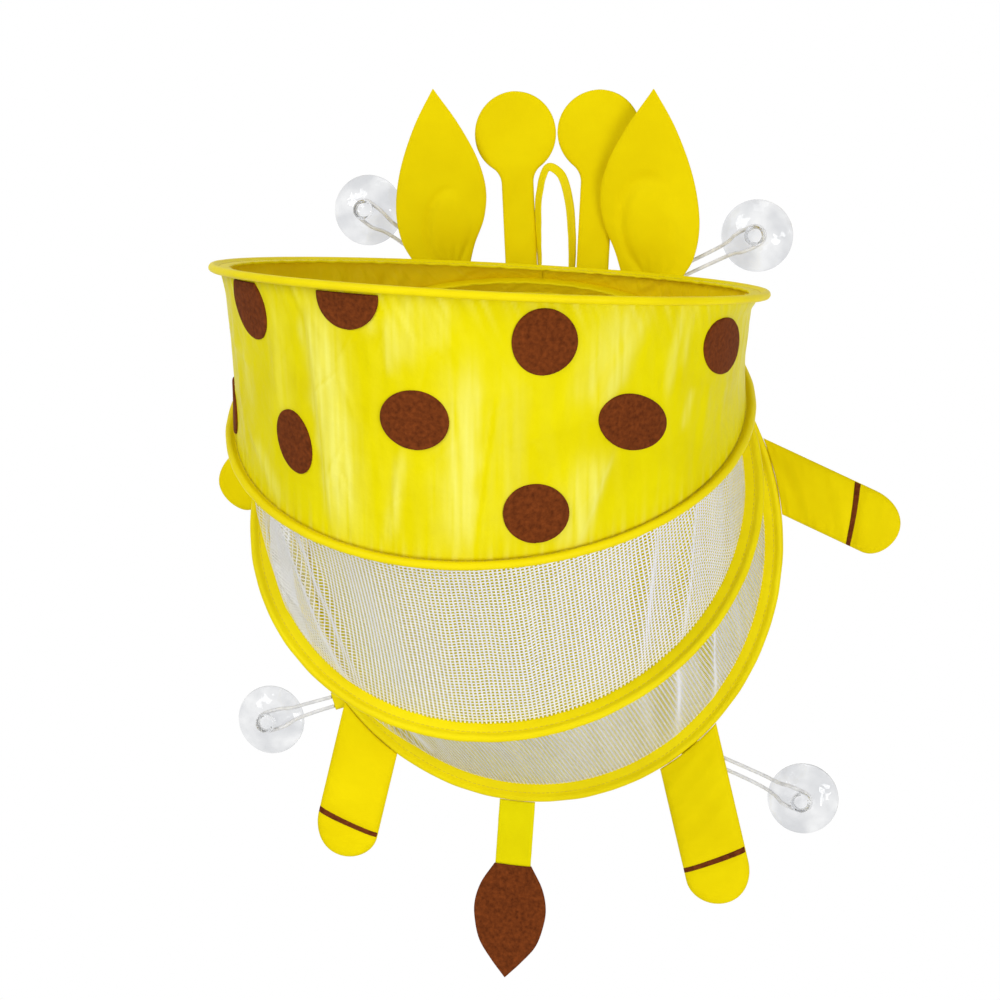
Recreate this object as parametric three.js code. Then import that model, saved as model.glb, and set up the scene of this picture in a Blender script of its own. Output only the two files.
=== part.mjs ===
// A wall-hung bath toy basket: a pop-up fan of four spring-wire hoops with cloth and net between them,
// padded ears, horns, arms and legs, a tail, a hanging loop and four suction cups on cord tethers.
// Millimetres, +X right, +Y into the wall, +Z up. The origin is the middle of the back panel on the wall.
import * as THREE from 'three';

// Hoops, from the open rim down to the back hoop on the wall. Tilts are degrees below horizontal.
// Draw-ins are how far the cloth pulls the sides of a hoop in.
const HOOP_RADIUS = 162;
const BACK_HOOP_HALF_HEIGHT = 170.5;
const SECOND_DRAW_IN = 6.5;
const THIRD_DRAW_IN = 4;
const RIM_TILT = 1.5;
const SECOND_TILT = 28.5;
const THIRD_TILT = 55.5;
const BACK_TILT = 90;
const BACK_STANDOFF = 4.5;
const STACK_GAP = 0.5;
const RING_STEPS = 32;

// Spring wire, its crimped joint sleeve and the folded tape casing around it
const WIRE_RADIUS = 0.8;
const WIRE_SIDES = 6;
const SLEEVE_WALL = 0.3;
const SLEEVE_LENGTH = 14;
const CASING_WALL = 0.7;
const CASING_WIDTH = 12.5;
const CASING_LAYER = 0.6;
const BULGE_CORNER = 35;
const SEAM_SLIT = 0.4;
const FIT_GAP = 0.3;
const LIMB_SEAM_GAP = 0.6;

// Cloth walls between the hoops. A waist is how far a wall is drawn in half way between its hoops.
const CLOTH_THICKNESS = 1;
const BAND_WAIST = 1.5;
const MESH_WAIST = 2;
const BAND_ROWS = 5;
const SEAM_INSET = 0.9;
const RIM_SEAM_INSET = 5.1;
const BAND_SEAM_INSET = 6.1;
const EDGE_ALLOWANCE = 0.7;
const PANEL_THICKNESS = 1.2;
const PANEL_LAP = 3;
const PANEL_SLOPE_WIDTH = 27;

// Nets: a plain grid stands for the fine mesh. Each net is made of panels side by side round the front,
// and a cloth gusset closes the rest of the wall at the hinge.
const GUSSET_STEPS = 6;
const NET_PANELS = 4;
const NET_PANEL_OPENINGS = 3;
const NET_OPENING_ROWS = 4;
const NET_BAR_DEGREES = 3.2;
const NET_BAR_SHARE = 0.05;
const NET_SEAM_GAP = 0.6;

// Felt spots on the band: degrees round the rim from the front, share of the way down the band, and size
const SPOT_THICKNESS = 1.2;
const SPOT_GAP = 0.7;
const SPOT_SEAM_MARGIN = 3;
const SPOT_SIDES = 12;
const SPOT_INNER_RING = 0.5;
const SPOTS = [
  { around: -47.5, down: 0.128, wide: 37, tall: 38 },
  { around: -17.2, down: 0.03, wide: 38.5, tall: 38 },
  { around: 23.4, down: 0.163, wide: 35.5, tall: 38 },
  { around: 72.5, down: 0.27, wide: 50, tall: 35 },
  { around: -3, down: 0.475, wide: 39.5, tall: 34 },
  { around: -33.3, down: 0.66, wide: 29, tall: 36 },
  { around: 43.7, down: 0.523, wide: 45, tall: 33 },
  { around: 22.3, down: 0.834, wide: 37.5, tall: 34 },
  { around: -71, down: 0.8, wide: 40, tall: 30 },
];

// Limbs, sewn to the outer edge of the back casing. Root angles and headings are degrees from +X,
// anticlockwise as seen from the front.
const ARM_WIDTH = 39.5;
const LEG_WIDTH = 43;
const LIMB_PADDING = 5;
const LIMB_BACK_PADDING = 1.2;
const LEFT_ARM_LENGTH = 67.5;
const RIGHT_ARM_LENGTH = 85.5;
const LEFT_LEG_LENGTH = 88;
const RIGHT_LEG_LENGTH = 104;
const ARM_STRIPE_FROM_TIP = 30.5;
const LEFT_LEG_STRIPE_FROM_TIP = 23.5;
const RIGHT_LEG_STRIPE_FROM_TIP = 29;
const STRIPE_WIDTH = 3.3;
const STRIPE_THICKNESS = 0.7;
const STRIPE_REACH = 0.93;
const ROOT_FULLNESS = 0.35;
const SHOULDER_FULLNESS = 0.8;
const TIP_FULLNESS = 0.25;
const ARM = { width: ARM_WIDTH, stripe: ARM_STRIPE_FROM_TIP };
const LEFT_LEG = { width: LEG_WIDTH, length: LEFT_LEG_LENGTH, stripe: LEFT_LEG_STRIPE_FROM_TIP };
const RIGHT_LEG = { width: LEG_WIDTH, length: RIGHT_LEG_LENGTH, stripe: RIGHT_LEG_STRIPE_FROM_TIP };
const LIMBS = {
  right_arm: { ...ARM, root: 18, heading: -21, length: RIGHT_ARM_LENGTH },
  left_arm: { ...ARM, root: 162, heading: 214, length: LEFT_ARM_LENGTH },
  right_leg: { ...RIGHT_LEG, root: -47.4, heading: -73.2 },
  left_leg: { ...LEFT_LEG, root: 231.5, heading: 259.4 },
};

// Ears: leaf shapes that lean forward of the horns
const LEFT_EAR_LENGTH = 131;
const RIGHT_EAR_LENGTH = 137;
const LEFT_EAR_WIDTH = 61;
const RIGHT_EAR_WIDTH = 65;
const EAR_ROOT_WIDTH = 26;
const EAR_PADDING = 7;
const EAR_BACK_PADDING = 1.2;
const EAR_FORWARD_TILT = 6;
const LEAF_TIP_WIDTH = 0.8;
const EARS = {
  left_ear: { root: 113.5, heading: 95.9, width: LEFT_EAR_WIDTH, length: LEFT_EAR_LENGTH },
  right_ear: { root: 66.35, heading: 90.6, width: RIGHT_EAR_WIDTH, length: RIGHT_EAR_LENGTH },
};

// Horns: a flat stalk with a round head
const LEFT_HORN_LENGTH = 119;
const RIGHT_HORN_LENGTH = 124;
const LEFT_HORN_HEAD = 54.3;
const RIGHT_HORN_HEAD = 56;
const HORN_STALK_WIDTH = 21;
const HORN_PADDING = 2.4;
const HORN_BACK_PADDING = 1.2;
const HORNS = {
  left_horn: { root: 95.8, heading: 96.0, length: LEFT_HORN_LENGTH, head: LEFT_HORN_HEAD },
  right_horn: { root: 79.7, heading: 90.3, length: RIGHT_HORN_LENGTH, head: RIGHT_HORN_HEAD },
};

// Tail: a webbing strap with a felt leaf
const TAIL_ROOT = 270;
const TAIL_HEADING = 269.2;
const TAIL_STRAP_WIDTH = 24;
const TAIL_STRAP_LENGTH = 43;
const TAIL_STRAP_THICKNESS = 1.8;
const TAIL_TIP_LENGTH = 76;
const TAIL_TIP_WIDTH = 50;
const TAIL_TIP_TOP_WIDTH = 25;
const TAIL_TIP_THICKNESS = 2.6;

// Hanging loop: a ribbon between the horns, edge-on at its feet and turned to the front at its top
const RIBBON_WIDTH = 6;
const RIBBON_THICKNESS = 1.6;
const LOOP_STEPS = 24;
const LOOP_LEFT_GAP = 1.3;
const LOOP_RIGHT_GAP = 3.2;
const LOOP_HEIGHT = 72;
const LOOP_FORWARD = 4.5;
const LOOP_TWIST = 50;

// Suction cups and their cord tethers
const CUP_DIAMETER = 46;
const CUP_LIP_WIDTH = 2.5;
const CUP_LIP_HEIGHT = 1.2;
const CUP_DOME_HEIGHT = 8.5;
const CUP_HOLLOW_DEPTH = 3.6;
const CUP_SHOULDER_DIAMETER = 16;
const CUP_NECK_DIAMETER = 8.4;
const CUP_NECK_HEIGHT = 4;
const CUP_KNOB_DIAMETER = 13;
const CUP_KNOB_HEIGHT = 4.5;
const CUP_KNOB_BEVEL = 1.2;
const CUP_NECK_FLARE = 0.6;
const CUP_SIDES = 16;
const CORD_DIAMETER = 2.4;
const CORD_SIDES = 8;
const CORD_STEPS = 34;
const CORD_LOOP_GAP = 0.7;
const CORD_WALL_GAP = 0.4;
const CORD_SPREAD = 6.4;
const TAB_WIDTH = 12;
const TAB_INSIDE = 6;
const TAB_OUTSIDE = 8;
const TAB_THICKNESS = 1.4;
const TETHERS = {
  upper_left: { anchor: 109.2, cup: [-122.5, 209.3] },
  upper_right: { anchor: 70.8, cup: [134, 207] },
  lower_left: { anchor: 222, cup: [-172.5, -135.2] },
  lower_right: { anchor: -47.3, cup: [187.3, -153.6] },
};

// Sizes that follow from the ones above
const SLEEVE_INNER_RADIUS = WIRE_RADIUS + FIT_GAP;
const SLEEVE_OUTER_RADIUS = SLEEVE_INNER_RADIUS + SLEEVE_WALL;
const CHANNEL_RADIUS = SLEEVE_OUTER_RADIUS + FIT_GAP;
const BULGE_RADIUS = CHANNEL_RADIUS + CASING_WALL;
const FLANGE_HALF = CASING_LAYER + SEAM_SLIT / 2;
const FLANGE_INNER = BULGE_RADIUS - CASING_WIDTH;
const STACK_PITCH = 2 * BULGE_RADIUS + STACK_GAP;
const OUTER_HALF_WIDTH = HOOP_RADIUS + BULGE_RADIUS + FIT_GAP;
const OUTER_HALF_HEIGHT = BACK_HOOP_HALF_HEIGHT + BULGE_RADIUS + FIT_GAP;

const yellowCloth = { color: 0xe8d400, roughness: 0.45, metalness: 0 };
const brownFelt = { color: 0x5a2a12, roughness: 0.95, metalness: 0 };
const whiteNet = { color: 0xf2f2f0, roughness: 0.7, metalness: 0 };
const clearVinyl = { color: 0xe6ebee, roughness: 0.15, metalness: 0, transparent: true, opacity: 0.4 };
const springSteel = { color: 0x8c9094, roughness: 0.35, metalness: 1 };

const basket = new THREE.Group();
basket.name = 'bath_toy_basket';

function addPiece(name, geometry, look) {
  const mesh = new THREE.Mesh(geometry, new THREE.MeshStandardMaterial(look));
  mesh.name = name;
  basket.add(mesh);
}

const radians = THREE.MathUtils.degToRad;
const RIGHT = new THREE.Vector3(1, 0, 0);
const UP = new THREE.Vector3(0, 0, 1);

// A closed solid through a row of equal rings of points. A looped row joins its last ring to its first,
// and an open row is closed at both ends by rungs across its end rings.
function loft(rings, looped) {
  const count = rings[0].length;
  const triangles = [];
  const last = looped ? rings.length : rings.length - 1;
  for (let i = 0; i < last; i += 1) {
    const near = i * count;
    const far = ((i + 1) % rings.length) * count;
    for (let j = 0; j < count; j += 1) {
      const k = (j + 1) % count;
      triangles.push([near + j, near + k, far + k], [near + j, far + k, far + j]);
    }
  }
  if (!looped) {
    const first = endFace(0, count).map(([a, b, c]) => [a, c, b]);
    triangles.push(...first, ...endFace((rings.length - 1) * count, count));
  }
  return outwardSolid(rings.flat(), triangles);
}

function endFace(start, count) {
  const triangles = [];
  for (let j = 0; j < count / 2; j += 1) {
    const left = start + j;
    const right = start + ((count - j) % count);
    const nextLeft = left + 1;
    const nextRight = start + count - j - 1;
    if (nextLeft !== nextRight) triangles.push([left, nextLeft, nextRight]);
    if (left !== right) triangles.push([left, nextRight, right]);
  }
  return triangles;
}

// Faces are turned outward by the sign of the volume that they enclose.
function outwardSolid(points, triangles) {
  let volume = 0;
  const cross = new THREE.Vector3();
  for (const [a, b, c] of triangles) volume += points[a].dot(cross.crossVectors(points[b], points[c]));
  const index = triangles.flatMap(([a, b, c]) => (volume > 0 ? [a, b, c] : [a, c, b]));
  const geometry = new THREE.BufferGeometry().setFromPoints(points);
  geometry.setIndex(index);
  geometry.computeVertexNormals();
  return geometry;
}

// A hoop hangs from its near point at the top of the back and slopes down by its tilt. Each hoop's near
// point lies one stack pitch in front of the hoop behind it, so that the fan can fold flat.
function makeHoop(name, tilt, halfWidth, halfLength, behind) {
  const down = new THREE.Vector3(0, -Math.cos(radians(tilt)), -Math.sin(radians(tilt)));
  const normal = new THREE.Vector3(0, -Math.sin(radians(tilt)), Math.cos(radians(tilt)));
  const near = behind
    ? behind.near.clone().addScaledVector(behind.normal, STACK_PITCH)
    : new THREE.Vector3(0, -BACK_STANDOFF, BACK_HOOP_HALF_HEIGHT);
  const centre = near.clone().addScaledVector(down, halfLength);
  return { name, down, normal, near, centre, halfWidth, halfLength };
}

const backHoop = makeHoop('back', BACK_TILT, HOOP_RADIUS, BACK_HOOP_HALF_HEIGHT, null);
const thirdHoop = makeHoop('third', THIRD_TILT, HOOP_RADIUS - THIRD_DRAW_IN, HOOP_RADIUS, backHoop);
const secondHoop = makeHoop('second', SECOND_TILT, HOOP_RADIUS - SECOND_DRAW_IN, HOOP_RADIUS, thirdHoop);
const rimHoop = makeHoop('rim', RIM_TILT, HOOP_RADIUS, HOOP_RADIUS, secondHoop);
const hoops = [rimHoop, secondHoop, thirdHoop, backHoop];

// A point near a hoop: the turn from its near point, how far outside the wire line, how far off its plane
function hoopPoint(hoop, turn, outside, above) {
  return hoop.centre.clone()
    .addScaledVector(hoop.down, -Math.cos(turn) * (hoop.halfLength + outside))
    .addScaledVector(hoop.normal, above)
    .addScaledVector(RIGHT, Math.sin(turn) * (hoop.halfWidth + outside));
}

const ringTurns = Array.from({ length: RING_STEPS }, (_, i) => (i / RING_STEPS) * 2 * Math.PI);

function circleProfile(radius) {
  return Array.from({ length: WIRE_SIDES }, (_, i) => {
    const angle = (i / WIRE_SIDES) * 2 * Math.PI;
    return [radius * Math.cos(angle), radius * Math.sin(angle)];
  });
}

// Folded tape: round the wire at the outer edge, then two layers side by side in to the seam
function casingProfile() {
  const slit = SEAM_SLIT / 2;
  const bulgeMouth = -Math.sqrt(BULGE_RADIUS ** 2 - FLANGE_HALF ** 2);
  const bulge = [95, BULGE_CORNER, -BULGE_CORNER, -95].map((degrees) => [
    BULGE_RADIUS * Math.cos(radians(degrees)),
    BULGE_RADIUS * Math.sin(radians(degrees)),
  ]);
  const channelSide = CHANNEL_RADIUS * Math.sin(radians(60));
  const channelHalf = CHANNEL_RADIUS / 2;
  const channel = [
    [-CHANNEL_RADIUS, -slit],
    [-channelHalf, -channelSide],
    [channelHalf, -channelSide],
    [CHANNEL_RADIUS, 0],
    [channelHalf, channelSide],
    [-channelHalf, channelSide],
    [-CHANNEL_RADIUS, slit],
  ];
  return [
    [FLANGE_INNER, FLANGE_HALF],
    [bulgeMouth, FLANGE_HALF],
    ...bulge,
    [bulgeMouth, -FLANGE_HALF],
    [FLANGE_INNER, -FLANGE_HALF],
    [FLANGE_INNER, -slit],
    ...channel,
    [FLANGE_INNER, slit],
  ];
}

function sweepRound(hoop, profile) {
  const rings = ringTurns.map((turn) => profile.map(([outside, above]) => {
    return hoopPoint(hoop, turn, outside, above);
  }));
  return loft(rings, true);
}

// The crimped sleeve that joins the two ends of a hoop's wire, at the hoop's far side
function wireSleeve(hoop) {
  const middle = (ringTurns[1] - ringTurns[0]) / 2 + Math.PI;
  const half = SLEEVE_LENGTH / 2 / HOOP_RADIUS;
  const chordDrop = HOOP_RADIUS * (1 - Math.cos(ringTurns[1] / 2));
  const inner = circleProfile(SLEEVE_INNER_RADIUS);
  const outer = circleProfile(SLEEVE_OUTER_RADIUS);
  const rings = outer.map((wide, i) => [
    [wide, middle - half],
    [wide, middle + half],
    [inner[i], middle + half],
    [inner[i], middle - half],
  ].map(([[outside, above], turn]) => {
    const bow = HOOP_RADIUS * (1 - Math.cos(turn - middle));
    return hoopPoint(hoop, turn, outside - chordDrop + bow, above);
  }));
  return loft(rings, true);
}

for (const hoop of hoops) {
  addPiece(`${hoop.name}_wire`, sweepRound(hoop, circleProfile(WIRE_RADIUS)), springSteel);
  addPiece(`${hoop.name}_wire_sleeve`, wireSleeve(hoop), springSteel);
  addPiece(`${hoop.name}_casing`, sweepRound(hoop, casingProfile()), yellowCloth);
}

// A cloth wall between two hoops, sewn on under the upper casing and on top of the lower one
function wallPoint(wall, turn, down) {
  const offPlane = FLANGE_HALF + FIT_GAP + EDGE_ALLOWANCE;
  const top = hoopPoint(wall.upper, turn, FLANGE_INNER + wall.topInset, -offPlane);
  const bottom = hoopPoint(wall.lower, turn, FLANGE_INNER + wall.bottomInset, offPlane);
  const point = top.clone().lerp(bottom, down);
  const inward = wall.upper.centre.clone().lerp(wall.lower.centre, down).sub(point).normalize();
  const fullness = 4 * down * (1 - down) * Math.sin(turn / 2) ** 2;
  return point.addScaledVector(inward, wall.waist * fullness);
}

function wallNormal(wall, turn, down) {
  const step = 0.01;
  const along = wallPoint(wall, turn + step, down).sub(wallPoint(wall, turn - step, down));
  const across = wallPoint(wall, turn, down + step).sub(wallPoint(wall, turn, down - step));
  return along.cross(across).normalize();
}

function wallSurface(wall, turn, down, outside) {
  return wallPoint(wall, turn, down).addScaledVector(wallNormal(wall, turn, down), outside);
}

function clothWall(wall, turns, looped) {
  const half = CLOTH_THICKNESS / 2;
  const rows = Array.from({ length: BAND_ROWS + 1 }, (_, i) => i / BAND_ROWS);
  const rings = turns.map((turn) => [
    ...rows.map((down) => wallSurface(wall, turn, down, half)),
    ...rows.toReversed().map((down) => wallSurface(wall, turn, down, -half)),
  ]);
  return loft(rings, looped);
}

const netSeam = NET_SEAM_GAP / 2 / HOOP_RADIUS;

// Grid lines of a net panel, two to each bar, across from one turn to another and down the wall
function netLines(from, to, openings, bar) {
  const pitch = (to - from - bar) / openings;
  const bars = Array.from({ length: openings + 1 }, (_, i) => from + i * pitch);
  return bars.flatMap((start) => [start, start + bar]);
}

// A net panel: cells between grid lines, left out where both their column and their row lie between bars.
// Each cell that stays has an outer and an inner face, and a side wherever it borders on an opening.
function netPanel(wall, from, to) {
  const turns = netLines(from + netSeam, to - netSeam, NET_PANEL_OPENINGS, radians(NET_BAR_DEGREES));
  const downs = netLines(0, 1, NET_OPENING_ROWS, NET_BAR_SHARE);
  const half = CLOTH_THICKNESS / 2;
  const points = turns.flatMap((turn) => downs.flatMap((down) => {
    return [half, -half].map((outside) => wallSurface(wall, turn, down, outside));
  }));
  const columns = turns.length - 1;
  const rows = downs.length - 1;
  const corner = (column, row) => (column * downs.length + row) * 2;
  const isOpen = (column, row) => {
    if (column < 0 || column >= columns || row < 0 || row >= rows) return true;
    return column % 2 === 1 && row % 2 === 1;
  };
  const triangles = [];
  const addQuad = (a, b, c, d) => triangles.push([a, b, c], [a, c, d]);
  for (let i = 0; i < columns; i += 1) {
    for (let j = 0; j < rows; j += 1) {
      if (isOpen(i, j)) continue;
      const outer = [corner(i, j), corner(i + 1, j), corner(i + 1, j + 1), corner(i, j + 1)];
      const inner = outer.map((index) => index + 1);
      addQuad(...outer);
      addQuad(...inner.toReversed());
      const neighbours = [[i, j - 1], [i + 1, j], [i, j + 1], [i - 1, j]];
      neighbours.forEach(([column, row], k) => {
        const next = (k + 1) % 4;
        if (isOpen(column, row)) addQuad(outer[next], outer[k], inner[k], inner[next]);
      });
    }
  }
  return outwardSolid(points, triangles);
}

function addNet(name, wall) {
  const hingeTurns = [
    ...ringTurns.slice(-GUSSET_STEPS).map((turn) => turn - 2 * Math.PI),
    ...ringTurns.slice(0, GUSSET_STEPS + 1),
  ];
  const gussetEnd = ringTurns[GUSSET_STEPS];
  const panelTurn = (2 * Math.PI - 2 * gussetEnd) / NET_PANELS;
  addPiece(`${name}_gusset`, clothWall(wall, hingeTurns, false), yellowCloth);
  for (let i = 0; i < NET_PANELS; i += 1) {
    const from = gussetEnd + i * panelTurn;
    addPiece(`${name}_mesh_${i + 1}`, netPanel(wall, from, from + panelTurn), whiteNet);
  }
}

const netInsets = { topInset: SEAM_INSET, bottomInset: SEAM_INSET };
const bandInsets = { topInset: RIM_SEAM_INSET, bottomInset: BAND_SEAM_INSET };
const bandWall = { upper: rimHoop, lower: secondHoop, waist: BAND_WAIST, ...bandInsets };
const middleWall = { upper: secondHoop, lower: thirdHoop, waist: MESH_WAIST, ...netInsets };
const lowerWall = { upper: thirdHoop, lower: backHoop, waist: MESH_WAIST, ...netInsets };
addPiece('upper_band', clothWall(bandWall, ringTurns, true), yellowCloth);
addNet('middle', middleWall);
addNet('lower', lowerWall);

// The back panel lies flat on the wall and rises at its edge to the back of the casing that it is sewn to.
function backPanel() {
  const rim = FLANGE_INNER + PANEL_LAP;
  const flat = rim - PANEL_SLOPE_WIDTH;
  const rimFront = BACK_STANDOFF - FLANGE_HALF - FIT_GAP;
  const levels = [
    [flat, 0],
    [rim, rimFront - PANEL_THICKNESS],
    [rim, rimFront],
    [flat, PANEL_THICKNESS],
  ];
  const rings = levels.map(([outside, offWall]) => ringTurns.map((turn) => {
    return hoopPoint(backHoop, turn, outside, offWall - BACK_STANDOFF);
  }));
  return loft(rings, false);
}

addPiece('back_panel', backPanel(), yellowCloth);

// Felt spots follow the band's outer face, and are cut straight where they would reach a hoop's seam.
function feltSpot({ around, down, wide, tall }) {
  const turn = Math.PI - radians(around);
  const step = 0.01;
  const perTurn = wallPoint(bandWall, turn + step, down).distanceTo(wallPoint(bandWall, turn, down)) / step;
  const perDown = wallPoint(bandWall, turn, down + step).distanceTo(wallPoint(bandWall, turn, down)) / step;
  const highest = SPOT_SEAM_MARGIN - down * perDown;
  const lowest = (1 - down) * perDown - SPOT_SEAM_MARGIN;
  const outline = Array.from({ length: SPOT_SIDES }, (_, i) => {
    const angle = ((i + 0.5) / SPOT_SIDES) * 2 * Math.PI;
    const aside = (wide / 2) * Math.sin(angle);
    const drop = (tall / 2) * Math.cos(angle);
    return new THREE.Vector2(aside, THREE.MathUtils.clamp(drop, highest, lowest));
  });
  const middle = new THREE.Vector2();
  for (const point of outline) middle.addScaledVector(point, 1 / SPOT_SIDES);
  const under = CLOTH_THICKNESS / 2 + SPOT_GAP;
  const over = under + SPOT_THICKNESS;
  const levels = [[SPOT_INNER_RING, under], [1, under], [1, over], [SPOT_INNER_RING, over]];
  const rings = levels.map(([share, outside]) => {
    return outline.map((point) => {
      const { x, y } = middle.clone().lerp(point, share);
      return wallSurface(bandWall, turn - x / perTurn, down + y / perDown, outside);
    });
  });
  return loft(rings, false);
}

SPOTS.forEach((spot, i) => addPiece(`felt_spot_${i + 1}`, feltSpot(spot), brownFelt));

// Limbs lie in the plane of the back hoop. Their root edge follows the outer edge of the casing.
function limbFrame({ root, heading, tilt = 0 }) {
  const along = new THREE.Vector3(Math.cos(radians(heading)), 0, Math.sin(radians(heading)));
  const across = new THREE.Vector3(-along.z, 0, along.x);
  const start = new THREE.Vector3(
    OUTER_HALF_WIDTH * Math.cos(radians(root)),
    -BACK_STANDOFF,
    OUTER_HALF_HEIGHT * Math.sin(radians(root)),
  );
  return { along, across, start, forward: Math.tan(radians(tilt)), rooted: true };
}

// The outer edge of the back casing, with room for a limb's seam
const casingEdge = ringTurns.map((turn) => {
  const outside = BULGE_RADIUS * Math.cos(radians(BULGE_CORNER)) + LIMB_SEAM_GAP;
  return hoopPoint(backHoop, turn, outside, 0);
});

// How far along a limb its edge at a given side offset meets the casing: where the line leaves the casing
function rootReach({ start, along, across }, side) {
  const from = start.clone().addScaledVector(across, side);
  const reaches = casingEdge.map((corner, i) => {
    const edge = casingEdge[(i + 1) % RING_STEPS].clone().sub(corner);
    const toCorner = corner.clone().sub(from);
    const slant = along.x * edge.z - along.z * edge.x;
    const share = (toCorner.x * along.z - toCorner.z * along.x) / slant;
    const reach = (toCorner.x * edge.z - toCorner.z * edge.x) / slant;
    return share >= 0 && share <= 1 ? reach : -Infinity;
  });
  return Math.max(...reaches);
}

function limbPoint(frame, length, reach, side, forward) {
  const start = frame.rooted ? rootReach(frame, side) : 0;
  const along = start + (length - start) * (reach / length);
  return frame.start.clone()
    .addScaledVector(frame.along, along)
    .addScaledVector(frame.across, side)
    .add(new THREE.Vector3(0, -forward - along * frame.forward, 0));
}

// Crown of a padded section: full in the middle, nothing at the sewn edges
function crown(share) {
  return Math.sqrt(1 - share ** 4);
}

// Shares of the half width where a section has points, and degrees where a round end has sections
const FRONT_SHARES = [-1, -0.85, -0.45, 0, 0.45, 0.85, 1];
const BACK_SHARES = FRONT_SHARES.slice(1, -1).toReversed();
const ROUND_END = [0, 28, 52, 70, 83];

// A padded limb through stations of reach, half width and fullness
function paddedLimb(frame, length, stations, padding, backPadding) {
  const rings = stations.map(({ reach, half, full = 1 }) => [
    ...FRONT_SHARES.map((share) => {
      return limbPoint(frame, length, reach, share * half, padding * full * crown(share));
    }),
    ...BACK_SHARES.map((share) => {
      return limbPoint(frame, length, reach, share * half, -backPadding * full * crown(share));
    }),
  ]);
  return loft(rings, false);
}

// A round end of a flat limb: reach and half width over a half circle up to the tip
function roundEnd(centre, radius, fromDegrees) {
  const angles = [fromDegrees, ...ROUND_END.filter((degrees) => degrees > fromDegrees)];
  return angles.map((degrees) => ({
    reach: centre + radius * Math.sin(radians(degrees)),
    half: radius * Math.cos(radians(degrees)),
    full: Math.max(TIP_FULLNESS, Math.cos(radians(Math.max(0, degrees)))),
  }));
}

function limbStations({ length, width }) {
  const radius = width / 2;
  return [
    { reach: 0, half: radius, full: ROOT_FULLNESS },
    { reach: radius / 2, half: radius, full: SHOULDER_FULLNESS },
    { reach: radius, half: radius },
    ...roundEnd(length - radius, radius, 0),
  ];
}

// A ribbon sewn straight across the front of a limb
function limbStripe(frame, { length, width, stripe }) {
  const half = width / 2;
  const middle = length - stripe;
  const levels = [
    [middle - STRIPE_WIDTH / 2, FIT_GAP],
    [middle + STRIPE_WIDTH / 2, FIT_GAP],
    [middle + STRIPE_WIDTH / 2, FIT_GAP + STRIPE_THICKNESS],
    [middle - STRIPE_WIDTH / 2, FIT_GAP + STRIPE_THICKNESS],
  ];
  const shares = FRONT_SHARES.map((share) => THREE.MathUtils.clamp(share, -STRIPE_REACH, STRIPE_REACH));
  const rings = shares.map((share) => levels.map(([reach, proud]) => {
    return limbPoint(frame, length, reach, share * half, LIMB_PADDING * crown(share) + proud);
  }));
  return loft(rings, false);
}

for (const [name, limb] of Object.entries(LIMBS)) {
  const frame = limbFrame(limb);
  const stations = limbStations(limb);
  addPiece(name, paddedLimb(frame, limb.length, stations, LIMB_PADDING, LIMB_BACK_PADDING), yellowCloth);
  addPiece(`${name}_stripe`, limbStripe(frame, limb), brownFelt);
}

// Leaf outlines are smooth curves of half width over reach.
function leafStations(length, outline, shares) {
  const curve = new THREE.SplineCurve(outline.map(([share, half]) => new THREE.Vector2(share, half)));
  return shares.map((share) => {
    const point = curve.getPoint(share);
    return { reach: point.x * length, half: point.y };
  });
}

function earOutline(width) {
  return [
    [0, EAR_ROOT_WIDTH / 2],
    [0.19, width * 0.33],
    [0.32, width * 0.455],
    [0.46, width / 2],
    [0.62, width * 0.438],
    [0.82, width * 0.247],
    [1, LEAF_TIP_WIDTH / 2],
  ];
}
const EAR_SHARES = [0, 0.12, 0.25, 0.38, 0.5, 0.63, 0.75, 0.87, 0.95, 1];

for (const [name, ear] of Object.entries(EARS)) {
  const frame = limbFrame({ ...ear, tilt: EAR_FORWARD_TILT });
  const stations = leafStations(ear.length, earOutline(ear.width), EAR_SHARES).map(({ reach, half }) => ({
    reach,
    half,
    full: reach > 0 ? Math.max(TIP_FULLNESS / 2, half / (ear.width / 2)) : ROOT_FULLNESS,
  }));
  addPiece(name, paddedLimb(frame, ear.length, stations, EAR_PADDING, EAR_BACK_PADDING), yellowCloth);
}

function hornStations({ length, head: diameter }) {
  const radius = diameter / 2;
  const stalk = HORN_STALK_WIDTH / 2;
  const neckDegrees = -THREE.MathUtils.radToDeg(Math.acos(stalk / radius));
  const head = roundEnd(length - radius, radius, neckDegrees);
  const lowerHead = [-45, -22].map((degrees) => ({
    reach: length - radius + radius * Math.sin(radians(degrees)),
    half: radius * Math.cos(radians(degrees)),
  }));
  return [
    { reach: 0, half: stalk, full: ROOT_FULLNESS },
    { reach: stalk, half: stalk },
    head[0],
    ...lowerHead,
    ...head.slice(1),
  ];
}

for (const [name, horn] of Object.entries(HORNS)) {
  const stations = hornStations(horn);
  const solid = paddedLimb(limbFrame(horn), horn.length, stations, HORN_PADDING, HORN_BACK_PADDING);
  addPiece(name, solid, yellowCloth);
}

// Tail strap and felt leaf, hung from the bottom of the back casing
const tailFrame = limbFrame({ root: TAIL_ROOT, heading: TAIL_HEADING });
const strapStations = [0, TAIL_STRAP_LENGTH].map((reach) => ({ reach, half: TAIL_STRAP_WIDTH / 2 }));
const strapHalf = TAIL_STRAP_THICKNESS / 2;
const strap = paddedLimb(tailFrame, TAIL_STRAP_LENGTH, strapStations, strapHalf, strapHalf);
addPiece('tail_strap', strap, yellowCloth);

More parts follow.
